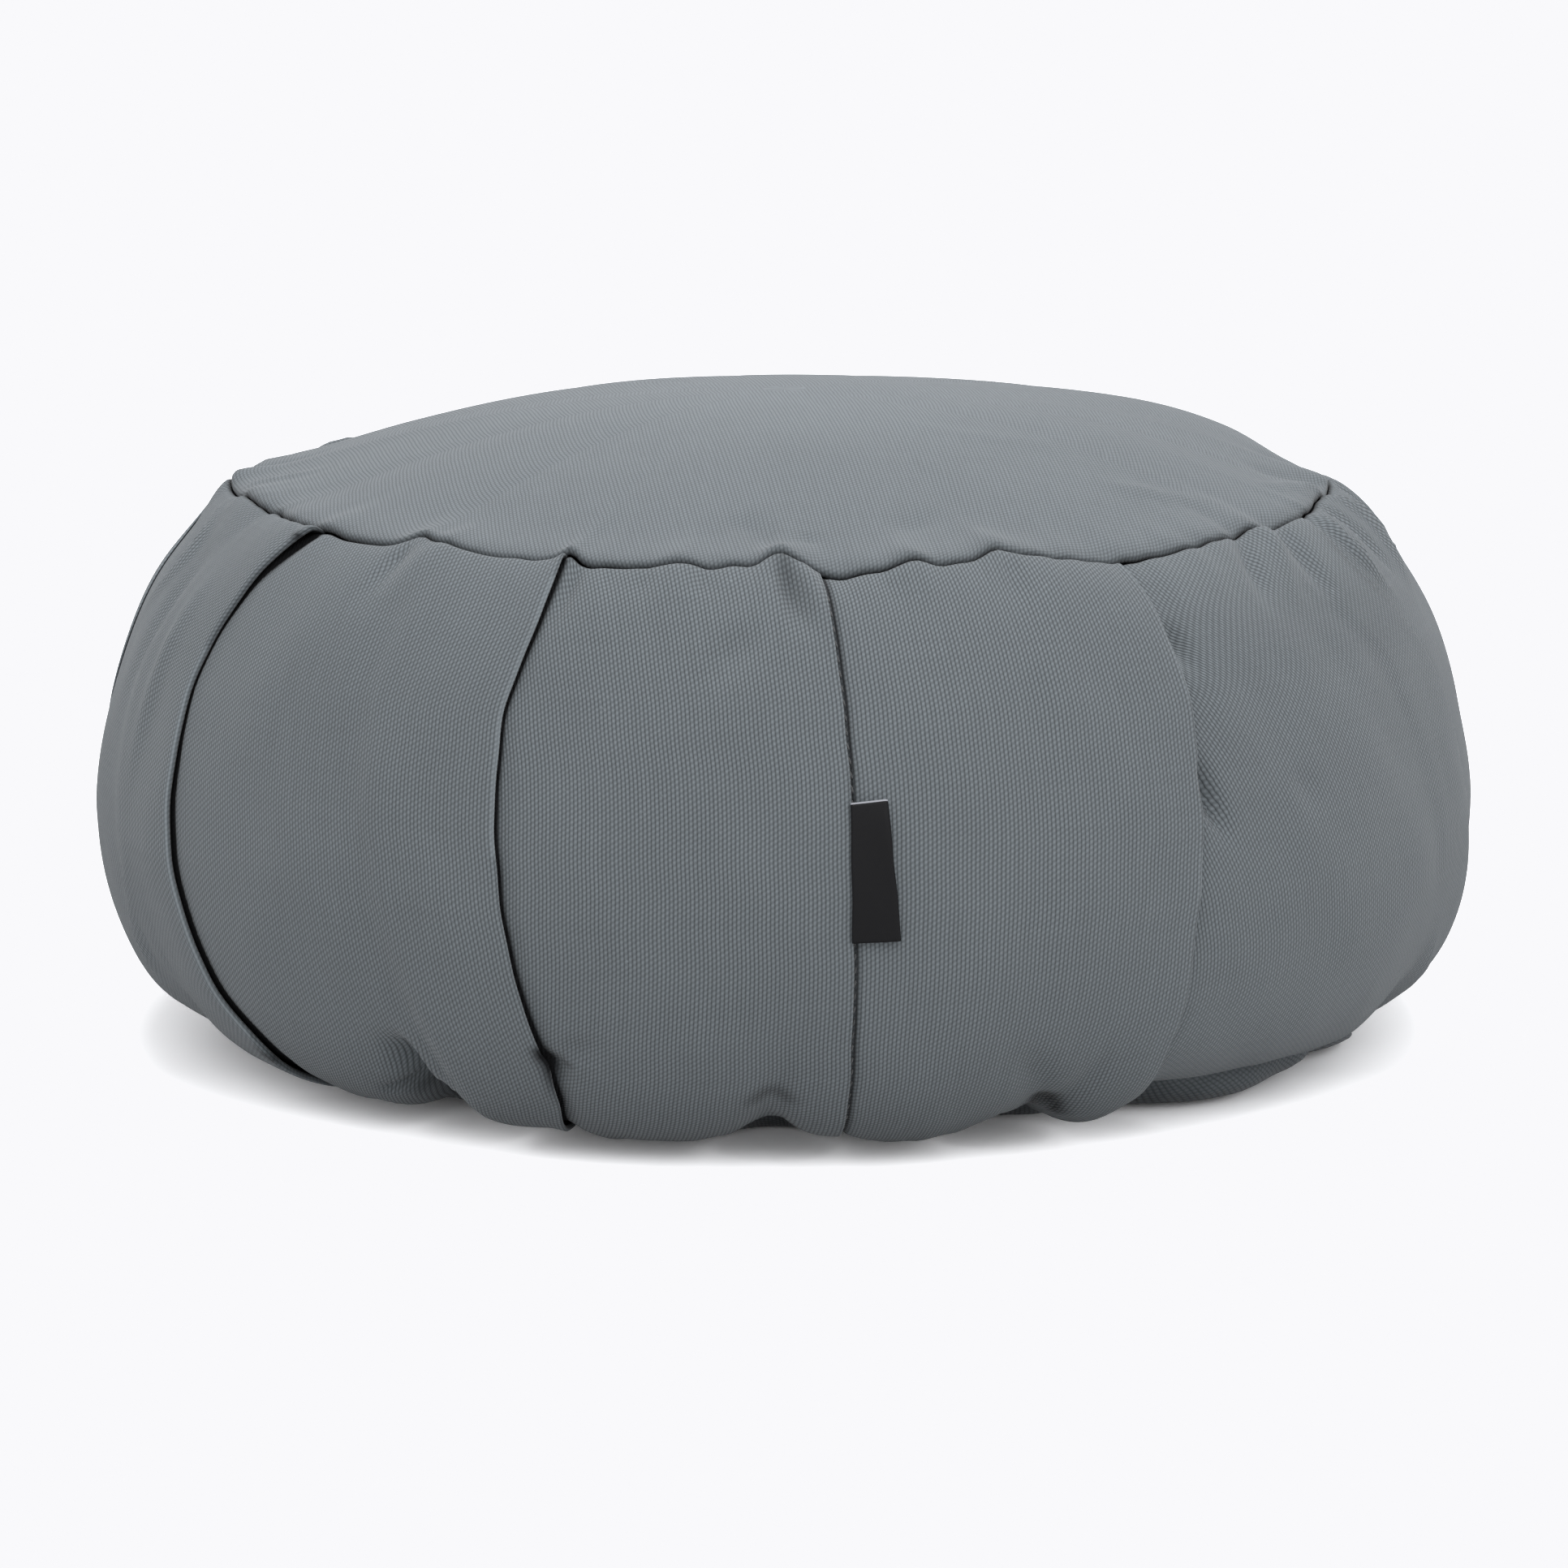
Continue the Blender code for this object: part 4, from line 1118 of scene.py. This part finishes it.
def make_bottom_panel(materials):
    """The round base: flat where it rests, with a rim that climbs to its seam."""
    angle, seam_r, seam_z = seam_ring(0.0)
    rolled = raised(angle, BASE_ROLL)
    edge_r = seam_r - 0.5 * MM
    floor_r = mix(BOTTOM_FLOOR_RADIUS, FRONT_FLOOR_RADIUS, raised(angle, BASE_LIFT))
    reach = np.maximum(edge_r - floor_r, BOTTOM_RIM_SHORTEST)
    reach = mix(reach, BOTTOM_ROLL_START, rolled)
    roll_out = BOTTOM_ROLL_OUT + BASE_BULGE_OUT * raised(angle, BASE_BULGE)
    edge_z = seam_z - 0.2 * MM
    rings = []
    for part in BASE_PARTS:
        rings.append(place(angle, (edge_r - reach) * part, 0.0 * edge_r))
    for part in np.linspace(0.0, 1.0, RIM_ROWS):
        plain_r = edge_r - reach * (1.0 - part)
        plain_z = edge_z * part ** BOTTOM_RIM_POWER
        first, second, third, last = ((1 - part) ** 3, 3 * (1 - part) ** 2 * part,
                                      3 * (1 - part) * part ** 2, part ** 3)
        roll_r = edge_r - reach * first + roll_out * (second + third)
        roll_z = edge_z * (ROLL_LOW * second + ROLL_HIGH * third + last)
        rings.append(place(angle, mix(plain_r, roll_r, rolled), mix(plain_z, roll_z, rolled)))
    inner = []
    for part in (1.0, *reversed(BASE_PARTS)):
        r = (edge_r - 1.6 * MM) * part
        from_edge = np.clip(1.0 - (edge_r - r) / reach, 0.0, 1.0)
        inner.append(place(angle, r, edge_z * from_edge ** BOTTOM_RIM_POWER + PANEL_THICKNESS))
    # Painted shade on the base's last ring and on its underside
    shades = [0.0] * (len(rings) - 1) + [0.9] + [1.0] * len(inner)
    rows = np.concatenate(rings + inner)
    poles = ((*MIDDLE_SHIFT, 0.0), (*MIDDLE_SHIFT, PANEL_THICKNESS))
    return panel_mesh("flat_base", rows, angle, shades, poles, BASE_GRAIN_TURN, False, materials)


def seam_surface(distance, height, proud):
    """A point beside the join seam: distance to its right, height from the floor."""
    share = share_at_height(height)
    radius = side_radius(share)
    angle = fold_edge(FOLDS[JOIN_SEAM], share) + np.degrees(distance / radius)
    share = np.broadcast_to(share, np.shape(angle))
    r, z = side_point(angle, share, proud)
    return place(angle, r, z)


def make_side_tab(material):
    """The ribbon, folded over at its outer end and caught in the join seam."""
    up = np.linspace(0.0, 1.0, TAB_ROWS + 1).reshape(-1, 1)
    height = mix(TAB_BOTTOM, TAB_TOP, up)
    out = mix(TAB_OUT_BOTTOM, TAB_OUT_TOP, up) - TAB_LAYER - TAB_BEND
    path = [(j / TAB_COLUMNS, 1.0) for j in range(TAB_COLUMNS + 1)]
    path += [(1.0, math.cos(math.pi * j / TAB_BEND_PARTS)) for j in range(1, TAB_BEND_PARTS)]
    path += [(1.0 - j / TAB_COLUMNS, -1.0) for j in range(TAB_COLUMNS + 1)]
    outer_ring, inner_ring = [], []
    for t, side in path:
        turned = math.sqrt(max(0.0, 1.0 - side * side))
        lift = TAB_STAND + TAB_BEND * 2.0 + 0.5 * MM * t ** 2
        for ring, half in ((outer_ring, TAB_BEND + TAB_LAYER), (inner_ring, TAB_BEND * 0.25)):
            distance = out * t - 0.4 * MM * (1 - t) + half * turned
            curl = TAB_CURL * np.sin(7.0 * up + 2.0 * t)
            proud = lift + half * side * mix(0.55, 1.0, t) + curl
            ring.append(seam_surface(distance, height + TAB_SLOPE * t, proud))
    ring = np.stack(outer_ring + inner_ring[::-1])[:, :, 0]
    points = ring.transpose(1, 0, 2)
    rows, columns = points.shape[:2]
    steps = np.linalg.norm(np.diff(ring[:, rows // 2], axis=0), axis=1)
    across = np.concatenate(([0.0], np.cumsum(steps)))
    u = np.broadcast_to(across.reshape(1, -1), (rows, columns))
    v = np.broadcast_to(height, (rows, columns))
    quads = grid_faces(rows, columns)
    uv = np.stack((u.reshape(-1)[quads], v.reshape(-1)[quads]), axis=-1)
    faces = quads.tolist()
    corners = [uv.reshape(-1, 2)]
    flat_u, flat_v = u.reshape(-1), v.reshape(-1)
    for row, flipped in ((0, True), (rows - 1, False)):
        base = row * columns
        for j in range(columns // 2 - 1):
            far = base + columns - 1 - j
            quad = [base + j, base + j + 1, far - 1, far]
            if flipped:
                quad = quad[::-1]
            faces.append(quad)
            corners.append(np.array([(flat_u[q], flat_v[q]) for q in quad]))
    return make_body("side_ribbon", points.reshape(-1, 3), faces, np.concatenate(corners),
                     (material,))


def face_number(face):
    """A number from a face's points, so that faces can be put in one order."""
    corners = sorted(corner.index for corner in face.verts)
    return sum(index * 100 ** k for k, index in enumerate(corners))


def make_stitches(material):
    """The stitches that show in the join seam, modelled once and copied along it in order."""
    bpy.ops.object.select_all(action="DESELECT")
    bpy.ops.mesh.primitive_uv_sphere_add(segments=8, ring_count=6, radius=STITCH_RADIUS)
    model = bpy.context.active_object
    bpy.ops.object.mode_set(mode="EDIT")
    bpy.ops.mesh.select_all(action="SELECT")
    bpy.ops.transform.resize(value=(1.0, STITCH_FLATNESS, STITCH_LENGTH / STITCH_RADIUS / 2))
    bpy.ops.object.mode_set(mode="OBJECT")
    model.data.shade_smooth()
    shape = bmesh.new()
    shape.from_mesh(model.data)
    shape.faces.sort(key=face_number)
    shape.to_mesh(model.data)
    shape.free()
    lean = Matrix.Rotation(math.radians(STITCH_LEAN), 4, "Y")
    row = bmesh.new()
    for height in np.arange(STITCHES_START, STITCHES_END, STITCH_PITCH):
        low = Vector(seam_surface(STITCH_ASIDE, height - 0.5 * MM, STITCH_DEPTH))
        high = Vector(seam_surface(STITCH_ASIDE, height + 0.5 * MM, STITCH_DEPTH))
        turn = (high - low).to_track_quat("Z", "Y").to_matrix().to_4x4()
        stitch = model.data.copy()
        stitch.transform(Matrix.Translation((high + low) / 2) @ turn @ lean)
        row.from_mesh(stitch)
        bpy.data.meshes.remove(stitch)
    bpy.data.objects.remove(model)
    mesh = bpy.data.meshes.new("seam_stitches")
    row.to_mesh(mesh)
    row.free()
    mesh.materials.append(material)
    stitches = bpy.data.objects.new("seam_stitches", mesh)
    bpy.context.collection.objects.link(stitches)
    return stitches


# ---------------------------------------------------------------- materials

def add_node(tree, kind, values=(), **settings):
    """A node with its settings, and its inputs given as numbers, colours or links."""
    node = tree.nodes.new("ShaderNode" + kind)
    for name, setting in settings.items():
        setattr(node, name, setting)
    fill_inputs(tree, node, values if isinstance(values, dict) else dict(enumerate(values)))
    return node


def fill_inputs(tree, node, values):
    """Give a node's inputs their numbers, colours or links, by name or place."""
    for name, value in values.items():
        if isinstance(value, bpy.types.NodeSocket):
            tree.links.new(value, node.inputs[name])
        else:
            node.inputs[name].default_value = value


def add_math(tree, operation, *values, clamp=False):
    return add_node(tree, "Math", values, operation=operation, use_clamp=clamp).outputs[0]


def add_combine(tree, *values):
    return add_node(tree, "CombineXYZ", values).outputs[0]


def add_noise(tree, vector, scale, detail=2.0, roughness=0.5):
    values = {"Vector": vector, "Scale": scale, "Detail": detail, "Roughness": roughness}
    return add_node(tree, "TexNoise", values).outputs["Fac"]


def add_color_mix(tree, factor, a, b, blend="MIX"):
    values = {0: factor, 6: a, 7: b}
    return add_node(tree, "Mix", values, data_type="RGBA", blend_type=blend).outputs[2]


def new_group(name, inputs, outputs):
    """An empty shader group with named inputs (name, kind, value) and outputs (name, kind)."""
    group = bpy.data.node_groups.new(name, "ShaderNodeTree")
    for socket_name, kind, value in inputs:
        socket = group.interface.new_socket(socket_name, in_out="INPUT", socket_type=kind)
        if value is not None:
            socket.default_value = value
    for socket_name, kind in outputs:
        group.interface.new_socket(socket_name, in_out="OUTPUT", socket_type=kind)
    return group, group.nodes.new("NodeGroupInput").outputs, group.nodes.new("NodeGroupOutput")


def make_weave_group():
    """A plain weave: rows of beads, each row half a bead out of step with the next."""
    group, given, result = new_group(
        "plain weave",
        (("Cloth Place", "NodeSocketVector", None),
         ("Warp Pitch", "NodeSocketFloat", WARP_PITCH),
         ("Weft Pitch", "NodeSocketFloat", WEFT_PITCH),
         ("Waviness", "NodeSocketFloat", THREAD_WAVINESS)),
        (("Height", "NodeSocketFloat"), ("Thread Tone", "NodeSocketFloat")))
    split = add_node(group, "SeparateXYZ", (given["Cloth Place"],)).outputs
    drift = add_noise(group, given["Cloth Place"], DRIFT_SCALE)
    drift = add_math(group, "SUBTRACT", drift, 0.5)
    drift = add_math(group, "MULTIPLY", drift, given["Waviness"])
    across = add_math(group, "ADD", split["X"], drift)
    along = add_math(group, "SUBTRACT", split["Y"], drift)
    across = add_math(group, "DIVIDE", across, given["Warp Pitch"])
    along = add_math(group, "DIVIDE", along, given["Weft Pitch"])
    across_turn = add_math(group, "MULTIPLY", across, math.pi)
    along_turn = add_math(group, "MULTIPLY", along, math.pi)
    across_wave = add_math(group, "SINE", across_turn)
    along_wave = add_math(group, "SINE", along_turn)
    crossing = add_math(group, "MULTIPLY", across_wave, along_wave)
    lean = add_math(group, "MULTIPLY", add_math(group, "COSINE", across_turn),
                    add_math(group, "COSINE", along_turn))
    crossing = add_math(group, "MULTIPLY_ADD", lean, BEAD_LEAN, crossing)
    column = add_math(group, "ABSOLUTE", across_wave)
    lifted = add_math(group, "MULTIPLY_ADD", column, BEAD_LENGTH, crossing)
    bead = add_math(group, "DIVIDE", lifted, 1.0 + BEAD_LENGTH, clamp=True)
    bead = add_math(group, "POWER", bead, BEAD_FULLNESS)
    slubs = []
    for across_share, along_share in ((SLUBS_ACROSS, SLUBS_ALONG), (SLUBS_ALONG, SLUBS_ACROSS)):
        run = add_combine(group, add_math(group, "MULTIPLY", across, across_share),
                          add_math(group, "MULTIPLY", along, along_share))
        slubs.append(add_noise(group, run, SLUB_SCALE))
    slubs = add_math(group, "SUBTRACT", add_math(group, "ADD", *slubs), 1.0)
    fill_inputs(group, result, {"Height": bead, "Thread Tone": slubs})
    return group


def make_wear_group():
    """Soft uneven tone over the cloth, with a few pale specks of lint."""
    group, given, result = new_group(
        "cloth tone",
        (("Place", "NodeSocketVector", None),
         ("Patch Size", "NodeSocketFloat", PATCH_SIZE)),
        (("Tone", "NodeSocketFloat"), ("Lint", "NodeSocketFloat")))
    size = add_combine(group, *[given["Patch Size"]] * 3)
    scaled = add_node(group, "VectorMath", (given["Place"], size), operation="DIVIDE")
    tone = add_noise(group, scaled.outputs[0], 1.0, 4.0, 0.55)
    tone = add_math(group, "SUBTRACT", tone, 0.5)
    specks = add_noise(group, given["Place"], LINT_SCALE, 1.0, 0.4)
    specks = add_math(group, "SUBTRACT", specks, LINT_RARENESS)
    specks = add_math(group, "MULTIPLY", specks, LINT_SHARPNESS, clamp=True)
    fill_inputs(group, result, {"Tone": tone, "Lint": specks})
    return group


def scaled_color(color, factor):
    return (color[0] * factor, color[1] * factor, color[2] * factor, 1.0)


def new_material(name):
    """A material, its node tree and its shader."""
    material = bpy.data.materials.new(name)
    material.use_nodes = True
    return material, material.node_tree, material.node_tree.nodes["Principled BSDF"]


def add_cloth(tree, weave_group, pitches=()):
    """The cloth places, and the weave over them."""
    cloth = add_node(tree, "UVMap", uv_map="cloth").outputs["UV"]
    weave = add_node(tree, "Group", node_tree=weave_group)
    fill_inputs(tree, weave, dict(pitches) | {"Cloth Place": cloth})
    return cloth, weave.outputs


def add_relief(tree, shader, height, strength, distance):
    values = {"Strength": strength, "Distance": distance, "Height": height}
    bump_node = add_node(tree, "Bump", values)
    fill_inputs(tree, shader, {"Normal": bump_node.outputs["Normal"]})


def add_roughness(tree, shader, height, smoother, start):
    """Roughness from its start value, less on top of the threads."""
    rough = add_math(tree, "MULTIPLY", height, -smoother)
    fill_inputs(tree, shader, {"Roughness": add_math(tree, "ADD", rough, start)})


def add_tone(tree, tone_group):
    """The uneven tone, fixed to the object."""
    where = add_node(tree, "TexCoord").outputs["Object"]
    tone = add_node(tree, "Group", node_tree=tone_group)
    fill_inputs(tree, tone, {"Place": where})
    return tone


def make_canvas(name, groups, contrast, relief_height, sheen):
    """Heavy plain-woven cotton."""
    weave_group, tone_group = groups
    material, tree, shader = new_material(name)
    weave = add_cloth(tree, weave_group)[1]
    tone = add_tone(tree, tone_group).outputs

    # The weave's tone: partly its own pattern, partly painted shade in the gaps between threads
    shade = add_math(tree, "MULTIPLY", weave["Height"], BEAD_LIGHT * contrast)
    shade = add_math(tree, "ADD", shade, 1.0 - WEAVE_MIDDLE * contrast)
    threads = add_math(tree, "MULTIPLY", weave["Thread Tone"], THREAD_UNEVENNESS)
    patches = add_math(tree, "MULTIPLY", tone["Tone"], PATCH_UNEVENNESS)
    uneven = add_math(tree, "ADD", threads, patches)
    uneven = add_math(tree, "ADD", uneven, 1.0)
    shade = add_math(tree, "MULTIPLY", shade, uneven)
    shade_color = add_node(tree, "CombineColor", (shade, shade, shade)).outputs[0]
    base = add_color_mix(tree, 1.0, scaled_color(CANVAS_COLOR, 1.0), shade_color, "MULTIPLY")
    lint = add_math(tree, "MULTIPLY", tone["Lint"], LINT_SEEN)
    base = add_color_mix(tree, lint, base, scaled_color(CANVAS_COLOR, LINT_LIGHTER))
    # Painted shade in folds, slots and seams, and painted paleness: highlights on folded edges and
    # the paler middle of the top
    painted_shading = add_node(tree, "UVMap", uv_map="hidden").outputs["UV"]
    hidden = add_node(tree, "SeparateXYZ", (painted_shading,)).outputs
    painted_pale = add_math(tree, "MULTIPLY", hidden["Y"], PAINTED_PALE_STRENGTH)
    base = add_color_mix(tree, painted_pale, base, scaled_color(CANVAS_COLOR, PAINTED_PALE_COLOR))
    base = add_color_mix(tree, hidden["X"], base, PAINTED_SHADE_COLOR)
    add_roughness(tree, shader, weave["Height"], 0.08, 0.94)
    add_relief(tree, shader, weave["Height"], 1.0, relief_height)
    fill_inputs(tree, shader, {"Base Color": base, "Specular IOR Level": 0.12,
                               "Sheen Weight": sheen, "Sheen Roughness": 0.45})
    return material


def make_ribbon(weave_group):
    """Tightly woven satin ribbon, nearly black, with a paler top edge."""
    material, tree, shader = new_material("black_satin_ribbon")
    cloth, weave = add_cloth(tree, weave_group, RIBBON_THREADS)
    base = add_color_mix(tree, weave["Height"], RIBBON_LOW_COLOR, RIBBON_HIGH_COLOR)
    split = add_node(tree, "SeparateXYZ", (cloth,)).outputs
    top_edge = add_math(tree, "GREATER_THAN", split["Y"], TAB_TOP - RIBBON_EDGE_WIDTH)
    base = add_color_mix(tree, top_edge, base, RIBBON_EDGE_COLOR)
    add_roughness(tree, shader, weave["Height"], 0.12, 0.52)
    add_relief(tree, shader, weave["Height"], 0.35, RIBBON_RELIEF)
    fill_inputs(tree, shader, {"Base Color": base, "Specular IOR Level": 0.1})
    return material


def make_thread(tone_group):
    """Spun sewing thread, from nearly black to the tone of the cloth; its darkness is partly painted
    shade of the seam's groove.
    """
    material, tree, shader = new_material("sewing_thread")
    tone = add_tone(tree, tone_group)
    fill_inputs(tree, tone, {"Patch Size": THREAD_PATCH_SIZE})
    part = add_math(tree, "ADD", tone.outputs["Tone"], 0.5, clamp=True)
    base = add_color_mix(tree, part, THREAD_DARK_COLOR, THREAD_PALE_COLOR)
    fill_inputs(tree, shader, {"Base Color": base, "Roughness": 0.7, "Sheen Weight": 0.2})
    return material


# ---------------------------------------------------------------- stage

def grey(value):
    return (value, value, value, 1.0)


def make_floor():
    """Pale paper with painted light: it glows for the camera, more in front, and not close to the
    cushion, which leaves a partly painted contact shadow.
    """
    bpy.ops.object.select_all(action="DESELECT")
    bpy.ops.mesh.primitive_plane_add(size=FLOOR_SIZE, location=(0.0, 0.0, FLOOR_HEIGHT))
    floor = bpy.context.active_object
    floor.name = "studio_floor"
    material, tree, shader = new_material("studio_paper")
    # Painted light: for the camera the paper is paler and glows, and the glow is taken away close to
    # the cushion
    seen = add_node(tree, "LightPath").outputs["Is Camera Ray"]
    color = add_color_mix(tree, seen, grey(PAPER_BOUNCE), grey(PAPER_SEEN))
    where = add_node(tree, "TexCoord").outputs["Object"]
    split = add_node(tree, "SeparateXYZ", (where,)).outputs
    forward = add_math(tree, "SUBTRACT", split["Y"], GLOW_START)
    forward = add_math(tree, "DIVIDE", forward, GLOW_FULL - GLOW_START, clamp=True)
    glow = add_color_mix(tree, forward, grey(PAPER_GLOW_SIDES), grey(PAPER_GLOW_FRONT))
    close_by = add_node(tree, "AmbientOcclusion", {"Distance": CONTACT_REACH}, samples=8)
    lit = add_math(tree, "SUBTRACT", close_by.outputs["AO"], CONTACT_DARK)
    lit = add_math(tree, "DIVIDE", lit, CONTACT_CLEAR - CONTACT_DARK, clamp=True)
    glow = add_color_mix(tree, lit, grey(0.0), glow)
    glow = add_color_mix(tree, seen, grey(0.0), glow)
    fill_inputs(tree, shader, {"Base Color": color, "Emission Color": glow,
                               "Emission Strength": 1.0, "Roughness": 0.9,
                               "Specular IOR Level": 0.1})
    floor.data.materials.append(material)


def make_light(name, place_at, aim, size, power):
    light = bpy.data.lights.new(name, "AREA")
    light.shape = "RECTANGLE"
    light.size, light.size_y = size
    light.energy = power
    light.color = (1.0, 1.0, 1.0)
    lamp = bpy.data.objects.new(name, light)
    lamp.location = place_at
    lamp.rotation_euler = (Vector(aim) - Vector(place_at)).to_track_quat("-Z", "Y").to_euler()
    bpy.context.collection.objects.link(lamp)


def make_world():
    """A white surround, as strong as it needs to be for what is seen and for its light."""
    world = bpy.data.worlds.new("studio_white")
    world.use_nodes = True
    tree = world.node_tree
    lighting = tree.nodes["Background"]
    fill_inputs(tree, lighting, {"Color": grey(1.0), "Strength": SKY_LIGHT})
    seen = add_node(tree, "Background", {"Color": grey(1.0), "Strength": SKY_SEEN})
    path = add_node(tree, "LightPath")
    both = add_node(tree, "MixShader", (path.outputs["Is Camera Ray"], lighting.outputs[0],
                                        seen.outputs[0]))
    output = next(node for node in tree.nodes if node.type == "OUTPUT_WORLD")
    fill_inputs(tree, output, {"Surface": both.outputs[0]})
    bpy.context.scene.world = world


def make_studio():
    """The surround, the lamps, and colours with a white that is a little off full white."""
    make_world()
    for lamp in LAMPS:
        make_light(*lamp)
    settings = bpy.context.scene.view_settings
    settings.view_transform = "Standard"
    settings.look = "None"
    settings.exposure = 0.0
    settings.gamma = 1.0
    settings.use_curve_mapping = True
    mapping = settings.curve_mapping
    mapping.extend = "HORIZONTAL"
    mapping.curves[3].points[-1].location = (1.0, WHITE_SEEN)
    for curve in (mapping.curves[0], mapping.curves[1]):
        curve.points[-1].location = (1.0, WARM_SEEN)
    mapping.update()


def make_camera():
    camera_data = bpy.data.cameras.new("front_camera")
    camera_data.lens = CAMERA_LENS
    camera_data.sensor_width = CAMERA_SENSOR
    camera = bpy.data.objects.new("front_camera", camera_data)
    camera.location = (0.0, -CAMERA_DISTANCE, CAMERA_HEIGHT)
    camera.rotation_euler = (math.radians(90.0 - CAMERA_PITCH), 0.0, 0.0)
    bpy.context.collection.objects.link(camera)
    bpy.context.scene.camera = camera


def main():
    groups = (make_weave_group(), make_wear_group())
    side_canvas = make_canvas("grey_canvas_side", groups, SIDE_CONTRAST, SIDE_RELIEF,
                              CANVAS_SHEEN)
    panel_canvas = make_canvas("grey_canvas_panels", groups, PANEL_CONTRAST, PANEL_RELIEF,
                               CANVAS_SHEEN)
    # A shaded copy of the canvas without sheen, for faces painted in full shade
    shaded_copy_canvas = make_canvas("grey_canvas_shaded_copy", groups, 1.0, SHADED_COPY_RELIEF, 0.0)
    ribbon = make_ribbon(groups[0])
    thread = make_thread(groups[1])

    side = make_side_band((side_canvas, shaded_copy_canvas))
    top = make_top_panel((panel_canvas, shaded_copy_canvas))
    base = make_bottom_panel((panel_canvas, shaded_copy_canvas))
    tab = make_side_tab(ribbon)
    stitches = make_stitches(thread)

    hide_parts("side_band")
    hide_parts("top_panel")
    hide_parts("bottom_panel")
    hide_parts("side_tab")
    for piece in (side, top, base, tab, stitches):
        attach(piece, "root")

    make_floor()
    make_studio()
    make_camera()


main()
